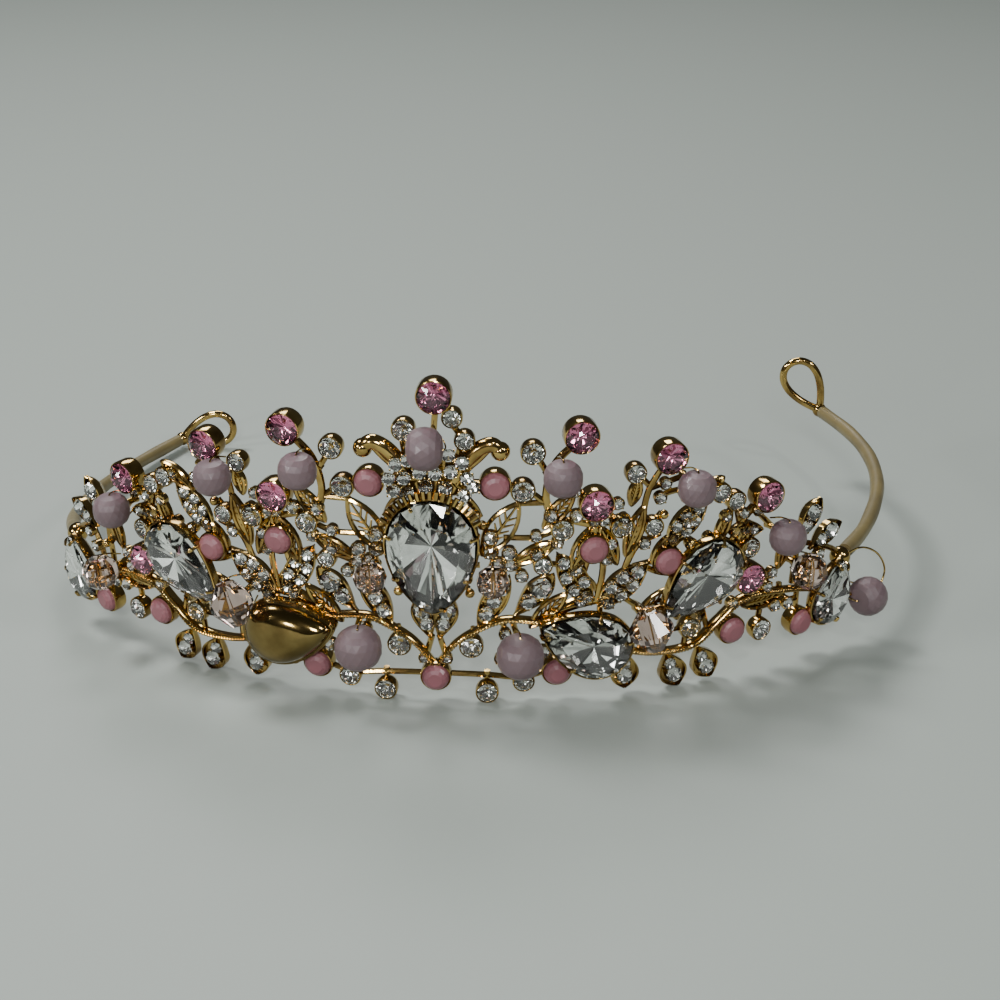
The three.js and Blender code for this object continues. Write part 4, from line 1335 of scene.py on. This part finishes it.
    def crest(self) -> Surface:
        """The fan over the centre pear, its ribbed arc, the two horns and the knobs."""
        corners = np.array(FAN_CORNERS)
        centre = corners.mean(axis=0)
        ring = smooth_path(level(corners, 0), 6, closed=True)[:, :2]
        rings = [PANEL.points([tuple(centre + (place - centre) * scale) for place in ring], out)
                 for scale, out in FAN_RINGS]
        parts = [sheath(np.array(rings))]
        parts.append(PANEL.put(grains(FAN_STONE_RADIUS), FAN_STONES, FAN_OUT))
        pear = PEARS[0]
        basis, origin = PANEL.frames([(pear.side, pear.lift)])
        for t in np.linspace(pi - self.arc_reach, pi + self.arc_reach, self.arc_ribs):
            inner, outer = (pear_edge(t, pear.width + grow, pear.length + grow, pear.full)
                            for grow in ARC_SPAN)
            path = np.linspace([*inner, pear.out - 0.1], [*outer, pear.out - 0.3], 4)
            parts.append(tube(path, self.arc_rib_radius, 7).copies(basis, origin))
        for places in (HORN, mirrored(HORN)):
            path = smooth_path(PANEL.points(places, 0.5), 6)
            size = np.interp(np.linspace(0, 1, len(path)), *HORN_TAPER)
            parts.append(tube(path, size, 14, np.array([0.0, -1, 0])))
            parts.append(PANEL.put(ball(self.horn_ball, 16, 10), [places[-1]], 0.5))
            rib = [*((side * 1.05, lift - 0.022) for side, lift in places[:3]), places[3]]
            parts.append(PANEL.wire(rib, self.horn_rib, sides=10, out=1.0))
        parts.append(PANEL.put(ball(self.knob_radius, 14, 9), both(KNOBS), 0.9))
        return merged(parts)

    def posts(self) -> Surface:
        """The posts behind the beads."""
        parts = []
        for row in MAUVE_BEADS + PEACH_BEADS:
            top = BEAD_BACK + row.proud * row.radius - 0.1
            parts.append(PANEL.put(turned(POST, 1, top, 12), row.spot.places()))
        return merged(parts)

    def build(self) -> list[Seat]:
        """Makes the pieces of the front.

        Returns:
            The seats of the leaves' stones.
        """
        leaves, seats = self.leaves()
        pieces = {"gold_vines": self.vines(), "gold_stems": self.stems(), "gold_leaves": leaves,
                  "gold_cups": self.cups(), "gold_trays": merged([self.tray(row) for row in PEARS]),
                  "gold_crest": self.crest(), "gold_posts": self.posts()}
        for name, skin in pieces.items():
            nodes = ("gold_front",) if name == "gold_vines" else ()
            dressed(name, skin, [self.gold], nodes)
        return seats


def grains(radius: float, size: float = 0.19) -> Surface:
    """Four grains of metal at the corners of a small stone.

    Args:
        radius: the stone's radius.
        size: a grain's radius.

    Returns:
        The grains, round the origin.
    """
    angle = pi / 4 + pi / 2 * np.arange(4)
    reach = radius + size * 0.35
    places = np.stack([reach * np.cos(angle), reach * np.sin(angle), np.full(4, 0.08)], axis=1)
    return ball(size, sides=6, rows=4).at(places)


# Stones and beads


@dataclass
class ClearStones:
    """The clear stones that are fused to the front, and the small ones on leaves and fan.

    Attributes:
        materials: glass and foil.
        seats: where the leaves hold their stones.
    """

    materials: list[bpy.types.Material]
    seats: list[Seat]

    def build(self) -> None:
        """Makes the round stones and the small ones."""
        rounds = []
        for spot in CLEAR_SPOTS:
            radius = CLEAR_RADIUS * spot.size
            stone = brilliant(round_outline(radius, 16), table=0.5, crown=radius * 0.5,
                              pavilion=radius * 0.75, girdle=0.06)
            rounds.append(PANEL.put(stone, spot.places(), CLEAR_OUT))
        dressed("crystal_rounds", merged(rounds), self.materials)
        small = [small_stone(radius).copies(basis[None], place[None])
                 for basis, place, radius in self.seats]
        small.append(PANEL.put(small_stone(FAN_STONE_RADIUS), FAN_STONES, FAN_OUT))
        for spot in TINY_SPOTS:
            small.append(PANEL.put(small_stone(TINY_RADIUS * spot.size), spot.places(), TINY_OUT))
        dressed("crystal_pave", merged(small), self.materials)


@dataclass
class PearStones:
    """The pears: six foil-backed crystals and one plain gilt dome.

    Attributes:
        crystal: glass and foil.
        gold: the dome's metal, gold painted darker as painted shade.
        rim_radius: the wire round the dome.
    """

    crystal: list[bpy.types.Material]
    gold: bpy.types.Material
    rim_radius: float = 0.3

    def cut(self, row: PearRow) -> Surface:
        """A faceted pear."""
        outline = pear_outline(row, 0, 2 * row.mains)
        return brilliant(outline, table=0.66, crown=row.width * 0.15, pavilion=row.back,
                         girdle=0.3, culet=row.length * 0.1, uneven=0.2)

    def dome(self, row: PearRow) -> Surface:
        """A smooth dome: the outline scaled by cos(b)^0.9 at height h sin b.

        Args:
            row: the pear.

        Returns:
            The dome and the fine wire round it.
        """
        angle = np.linspace(-0.05, pi / 2 - 0.06, 18)
        height = row.width * 0.3
        rings = [level(pear_outline(row, 0, 64) * np.cos(b) ** 0.9, height * np.sin(b))
                 for b in angle]
        rim = level(pear_outline(row, 0.1, 64), 0.15)
        return merged([sheath(np.array(rings)), tube(rim, self.rim_radius, closed=True)])

    def build(self) -> None:
        """Makes each pear in its tray."""
        for row in PEARS:
            skin = self.dome(row) if row.metal else self.cut(row)
            placed = PANEL.put(skin, [(row.side, row.lift)], row.out, row.turn)
            node = f"pear_{row.name}"
            materials = [self.gold] if row.metal else self.crystal
            dressed(f"{node}_cut", placed, materials, (node,))


@dataclass
class RoundStones:
    """The pink rhinestones and the opaque cabochons, in cups of their own.

    Attributes:
        pink: glass and foil.
        enamel: the cabochons' material.
    """

    pink: list[bpy.types.Material]
    enamel: bpy.types.Material

    def cabochon(self, sides: int = 14) -> Surface:
        """A low dome with soft facets: rings at radius r cos(b)^0.8 and height h sin b.

        Args:
            sides: facets round it.

        Returns:
            The dome, flat-faced.
        """
        angle = np.linspace(0, pi / 2 - 0.45, 4)
        profile = [(CABOCHON_RADIUS, -0.7)]
        profile += list(zip(CABOCHON_RADIUS * np.cos(angle) ** 0.8, 1.25 * np.sin(angle)))
        return lathe(profile, sides, smooth=False)

    def build(self) -> None:
        """Makes each stone at its node's place."""
        stone = brilliant(round_outline(PINK_RADIUS, 16), table=0.45, crown=1.15, pavilion=1.1,
                          girdle=0.08)
        for spot in PINK_SPOTS:
            for label, place in spot.named():
                node = f"pink_stone_{label}"
                dressed(f"{node}_cut", PANEL.put(stone, [place], PINK_OUT),
                        self.pink, (node,))
        dome = self.cabochon()
        for spot in CABOCHON_SPOTS:
            for label, place in spot.named():
                node = f"cabochon_{label}"
                dressed(f"{node}_dome", PANEL.put(dome, [place], CABOCHON_OUT),
                        [self.enamel], (node,))


# Beads: (share of the radius, share of the half length) from one end to the other
RONDELLE = [(0.25, -1.0), (0.6, -0.92), (0.84, -0.68), (0.97, -0.36), (1.0, 0), (0.97, 0.36),
            (0.84, 0.68), (0.6, 0.92), (0.25, 1.0)]
BICONE = [(0.4, -1.0), (1.0, -0.12), (1.0, 0.12), (0.4, 1.0)]
ROUNDED_BICONE = [(0.5, -1.0), (0.86, -0.62), (1.0, 0.0), (0.86, 0.62), (0.5, 1.0)]


@dataclass
class WiredBeads:
    """The mauve and peach beads and the fine wires that hold them.

    Attributes:
        mauve: the milky glass.
        peach: the clear glass.
        gold: the wires' metal.
        wire_radius: the beading wire.
        end_wire_radius: the wire from the right collar over the end bead.
    """

    mauve: bpy.types.Material
    peach: bpy.types.Material
    gold: bpy.types.Material
    wire_radius: float = 0.13
    end_wire_radius: float = 0.169

    def rings(self, row: BeadRow, profile: list[tuple[float, float]], sides: int,
              twist: float = 0.0) -> np.ndarray:
        """Rings of corners round a bead's bore, (r sin a, y, r cos a).

        Args:
            row: the bead.
            profile: (share of its radius, share of its half length) pairs.
            sides: corners in a ring.
            twist: the turn of every second ring, as a share of a step.

        Returns:
            The corners, shape (rings, sides, 3).
        """
        share, height = np.array(profile, float).T[:, :, None]
        angle = 2 * pi * (np.arange(sides) + twist * (np.arange(len(profile))[:, None] % 2)) / sides
        radius = row.radius * share
        level = np.broadcast_to(row.half * height, (len(profile), sides))
        return np.stack([radius * np.sin(angle), level, radius * np.cos(angle)], axis=-1)

    def rondelle(self, row: BeadRow, sides: int = 16) -> Surface:
        """A faceted bead about y, each ring of corners turned half a step from the last."""
        return self.facets(self.rings(row, RONDELLE, sides, twist=0.5))

    def bicone(self, row: BeadRow, sides: int = 10) -> Surface:
        """Two cones base to base about y; a bead that isn't proud is rounder."""
        profile = BICONE if row.proud else ROUNDED_BICONE
        return sheath(self.rings(row, profile, sides), smooth=False)

    def facets(self, rings: np.ndarray) -> Surface:
        """The skin through rings whose corners alternate, in flat triangles.

        Args:
            rings: the corners, shape (rings, corners in a ring, 3).

        Returns:
            The closed surface.
        """
        rows, columns = rings.shape[:2]
        index = np.arange(rows * columns).reshape(rows, columns)
        faces = []
        for number, (low, high) in enumerate(zip(index[:-1], index[1:])):
            straight = number % 2 == 0
            near = high if straight else ahead(high)
            far = ahead(high, -1) if straight else high
            faces += [facing(low, near, far), facing(low, ahead(low), near)]
        middles, fans = caps(rings, index)
        faces = np.concatenate(faces + fans)
        flags = np.zeros(len(faces), int)
        points = np.concatenate([rings.reshape(-1, 3), middles])
        return Surface(points, faces, flags.astype(bool), flags).outward()

    def threading(self, row: BeadRow, out: float) -> Surface:
        """The wire through a bead's bore, bent back to the panel at both ends."""
        half = row.half
        path = np.array([[0.2, -half * 0.55, 0.3 - out], [0.1, -half - 0.1, -row.radius * 0.55],
                         [0, -half - 0.12, 0], [0, half + 0.12, 0],
                         [-0.1, half + 0.1, -row.radius * 0.55], [-0.2, half * 0.55, 0.3 - out]])
        return tube(smooth_path(path, 5), self.wire_radius, 6, np.array([1.0, 0, 0]))

    def build(self) -> None:
        """Makes each bead at its node's place, and all the threading wires."""
        wires = []
        for rows, kind, finish, material in ((MAUVE_BEADS, "mauve", Finish.MAUVE, self.mauve),
                                             (PEACH_BEADS, "peach", Finish.PEACH, self.peach)):
            for row in rows:
                out = BEAD_BACK + row.radius * (1 + row.proud)
                shape = self.rondelle(row) if kind == "mauve" else self.bicone(row)
                turn = 90.0 if row.across else row.tilt
                for label, place in row.spot.named():
                    node = f"bead_{kind}_{label}"
                    dressed(f"{node}_cut", PANEL.put(shape, [place], out, turn),
                            [material], (node,))
                    wires.append(PANEL.put(self.threading(row, out), [place], out, turn))
        wires.append(PANEL.wire(END_WIRE, self.end_wire_radius, sides=8, per_span=10,
                                out=np.array(END_WIRE_OUT)))
        dressed("beading_wires", merged(wires), [self.gold])


# An arm's route, as (share of its reach, share of its half width)
ARM_ROUTE = [(0.17, 0.937), (0.42, 0.99), (0.63, 0.993), (0.81, 0.96), (1.0, 0.89)]

# Steps of the route that the sleeve leaves bare at the collar and at the pinch
BARE_START, BARE_END = 3, 2

# The sleeve's unevenness: a share of its radius, and radians for each step along it
SLEEVE_WAVE, SLEEVE_WAVE_STEP = 0.03, 0.37


@dataclass
class Arm:
    """One sleeved wire arm: collar ball, wire, sleeve and loop.

    Attributes:
        hand: 1 for the viewer's right, -1 for the left.
        gold: the wire's metal.
        sleeve: the sleeve's plastic.
        route_step: from point to point of its middle line.
        half_width: what its sideways shares are taken of.
        collar: the place of its collar ball on the panel.
        wire_radius: its wire.
        sleeve_radius: its sleeve.
        collar_radius: its collar ball.
        pinch_radius: the ball of solder where the loop's ends meet.
        loop_length: the loop's length over all.
        loop_width: the loop's width over all.
        loop_inset: how far the wire's middle line lies inside those.
        left_pinch: the height of the left loop's pinch, over the panel's foot.
        reaches: how far back the right and the left arm run.
        leans: how far the right and the left loop stand up, in degrees.
    """

    hand: int
    gold: bpy.types.Material
    sleeve: bpy.types.Material
    route_step: float = 0.8
    half_width: float = 71.0
    collar: Place = (1.05, 0.29)
    wire_radius: float = 0.72
    sleeve_radius: float = 1.2
    collar_radius: float = 1.7
    pinch_radius: float = 1.368
    loop_length: float = 11.5
    loop_width: float = 7.5
    loop_inset: float = 0.6
    left_pinch: float = 1.85
    reaches: tuple[float, float] = (70.5, 79.0)
    leans: tuple[float, float] = (58, 18)

    @property
    def label(self) -> str:
        """The end of the arm's node names."""
        return "right" if self.hand > 0 else "left"

    def route(self) -> np.ndarray:
        """The arm's middle line from its collar to the pinch of its loop."""
        start = PANEL.points([(self.hand * self.collar[0], self.collar[1])])[0]
        middle = np.array(PANEL.middle)
        reach = self.reaches[self.hand < 0]
        end_height = start[2] if self.hand > 0 else self.left_pinch + middle[2]
        back, side = np.array(ARM_ROUTE).T
        height = start[2] + (end_height - start[2]) * (1 - (1 - back) ** 2)
        points = np.column_stack([self.hand * side * self.half_width + middle[0],
                                  start[1] + back * reach, height])
        return evenly(smooth_path(np.vstack([start, points]), 20), self.route_step)

    def loop(self, pinch: np.ndarray) -> np.ndarray:
        """The upright teardrop loop: x = l (1 + cos t) / 2, z = w/2 sin t cos(t/2), leaning inwards.

        Args:
            pinch: where its two ends meet.

        Returns:
            Its middle line.
        """
        lean = radians(self.leans[self.hand < 0])
        along = np.array([-self.hand * np.cos(lean), 0, np.sin(lean)])
        across = np.array([self.hand * np.sin(lean), 0, np.cos(lean)])
        turn = pi - 2 * pi * np.arange(1, 14) / 14
        reach = (self.loop_length - self.loop_inset) * (1 + np.cos(turn)) / 2
        widest = self.loop_width / 2 - self.loop_inset
        swell = widest * np.sin(turn) * np.cos(turn / 2) / FULLEST
        return smooth_path(pinch + along * reach[:, None] + across * swell[:, None], 6)

    def build(self) -> None:
        """Makes the arm's pieces."""
        path = self.route()
        ring = self.loop(path[-1])
        wire = merged([tube(path[1:], self.wire_radius, 12),
                       tube(ring, self.wire_radius, 12, np.array([0.0, 1, 0])),
                       ball(self.pinch_radius, 16, 10).at(path[-1])])
        dressed(f"arm_wire_{self.label}_bent", wire, [self.gold],
                (f"arm_wire_{self.label}",))
        covered = path[BARE_START:-BARE_END]
        wave = SLEEVE_WAVE * np.sin(np.arange(len(covered)) * SLEEVE_WAVE_STEP)
        dressed(f"arm_sleeve_{self.label}_tube", tube(covered, self.sleeve_radius * (1 + wave), 20),
                [self.sleeve], (f"arm_sleeve_{self.label}",), crease=70)
        angle = np.linspace(0.3, pi - 0.3, 9)
        radius, height = self.collar_radius * np.sin(angle), -self.collar_radius * np.cos(angle)
        collar = lathe(list(zip(radius, height)), 20).at(path[0])
        dressed(f"collar_{self.label}", collar, [self.gold])


# The stage


@dataclass(frozen=True)
class Softbox:
    """A soft light: its name, where it hangs, its size in metres and its power."""

    name: str
    place: tuple[float, float, float]
    size: float
    power: float

    def hang(self, aim: Vector) -> None:
        """Makes the light.

        Args:
            aim: where it points.
        """
        light = bpy.data.lights.new(self.name, "AREA")
        light.size = self.size
        light.energy = self.power
        lamp = bpy.data.objects.new(self.name, light)
        lamp.location = self.place
        lamp.rotation_euler = (aim - Vector(self.place)).to_track_quat("-Z", "Y").to_euler()
        bpy.context.scene.collection.objects.link(lamp)


SOFTBOXES = [Softbox("key_light", (-0.5, 0.12, 0.88), 0.26, 9.8),
             Softbox("front_light", (0.04, -0.75, 0.42), 0.11, 3.6),
             Softbox("left_light", (-0.8, -0.5, 0.42), 0.18, 4.0),
             Softbox("right_light", (0.8, -0.5, 0.6), 0.16, 3.0),
             Softbox("low_glint", (-0.3, -0.62, 0.22), 0.06, 1.2),
             Softbox("high_glint", (0.34, -0.55, 0.7), 0.06, 1.4),
             Softbox("back_light", (-0.15, 0.8, 0.9), 0.4, 5.5)]
LIT_POINT = (0, 0, 0.02)


@dataclass
class Studio:
    """A plain floor, soft lights and the camera at the photograph's viewing angle.

    Attributes:
        azimuth: how far round from the front the camera stands.
        elevation: how far above the floor it looks down.
        distance: from its aim, in metres.
        aim: the point that it looks at, in metres.
        lens: its focal length in millimetres, on a sensor 36 mm wide.
        floor_half: half the floor's side, in metres.
        floor_colour: the floor.
        floor_roughness: how dull it is.
        world_colour: the dim surround.
    """

    azimuth: float = radians(-4.57)
    elevation: float = radians(21.92)
    distance: float = 0.330
    aim: tuple[float, float, float] = (0.00669, -0.01104, 0.0183)
    lens: float = 72.0
    floor_half: float = 2.5
    floor_colour: tuple[float, float, float] = (0.25, 0.28, 0.255)
    floor_roughness: float = 0.6
    world_colour: tuple[float, float, float] = (0.06, 0.062, 0.06)

    def floor(self) -> None:
        """The floor that the tiara stands on."""
        half = self.floor_half
        mesh = bpy.data.meshes.new("floor")
        mesh.from_pydata([(-half, -half, 0), (half, -half, 0), (half, half, 0), (-half, half, 0)], [],
                         [(0, 1, 2, 3)])
        material, principled = shader("pale_floor")
        principled.inputs["Base Color"].default_value = (*self.floor_colour, 1)
        principled.inputs["Roughness"].default_value = self.floor_roughness
        mesh.materials.append(material)
        plane = bpy.data.objects.new("floor", mesh)
        bpy.context.scene.collection.objects.link(plane)

    def camera(self) -> None:
        """The camera: aim minus the forward direction times the distance."""
        sine, cosine = np.sin(self.azimuth), np.cos(self.azimuth)
        rise, flat = np.sin(self.elevation), np.cos(self.elevation)
        right = Vector((cosine, -sine, 0))
        forward = Vector((flat * sine, flat * cosine, -rise))
        upward = Vector((rise * sine, rise * cosine, flat))
        view = bpy.data.cameras.new("camera")
        view.lens = self.lens
        view.sensor_width = 36.0
        view.clip_start = 0.01
        eye = bpy.data.objects.new("camera", view)
        place = Vector(self.aim) - forward * self.distance
        turn = Matrix((right, upward, -forward)).transposed().to_4x4()
        eye.matrix_world = Matrix.Translation(place) @ turn
        bpy.context.scene.collection.objects.link(eye)
        bpy.context.scene.camera = eye

    def lights(self) -> None:
        """The soft boxes and a dim surround."""
        world = bpy.data.worlds.new("studio")
        world.use_nodes = True
        world.node_tree.nodes["Background"].inputs["Color"].default_value = (*self.world_colour, 1)
        bpy.context.scene.world = world
        for box in SOFTBOXES:
            box.hang(Vector(LIT_POINT))

    def build(self) -> None:
        """Sets the stage."""
        self.floor()
        self.camera()
        self.lights()


def main() -> None:
    """Builds the tiara's pieces and the stage."""
    surface = cast_surface()
    gold = GOLD_FINISH.make(surface)
    crystal = CRYSTAL_FINISH.make()
    seats = GiltFront(gold).build()
    ClearStones(crystal, seats).build()
    PearStones(crystal, DOME_FINISH.make(surface)).build()
    RoundStones(PINK_STONE_FINISH.make(), CABOCHON_FINISH.make(surface)).build()
    WiredBeads(MAUVE_FINISH.make(surface), PEACH_FINISH.make()[0], gold).build()
    sleeve = SLEEVE_FINISH.make(surface)
    for hand in (1, -1):
        Arm(hand, gold, sleeve).build()
    Studio().build()


if __name__ == "__main__":
    main()
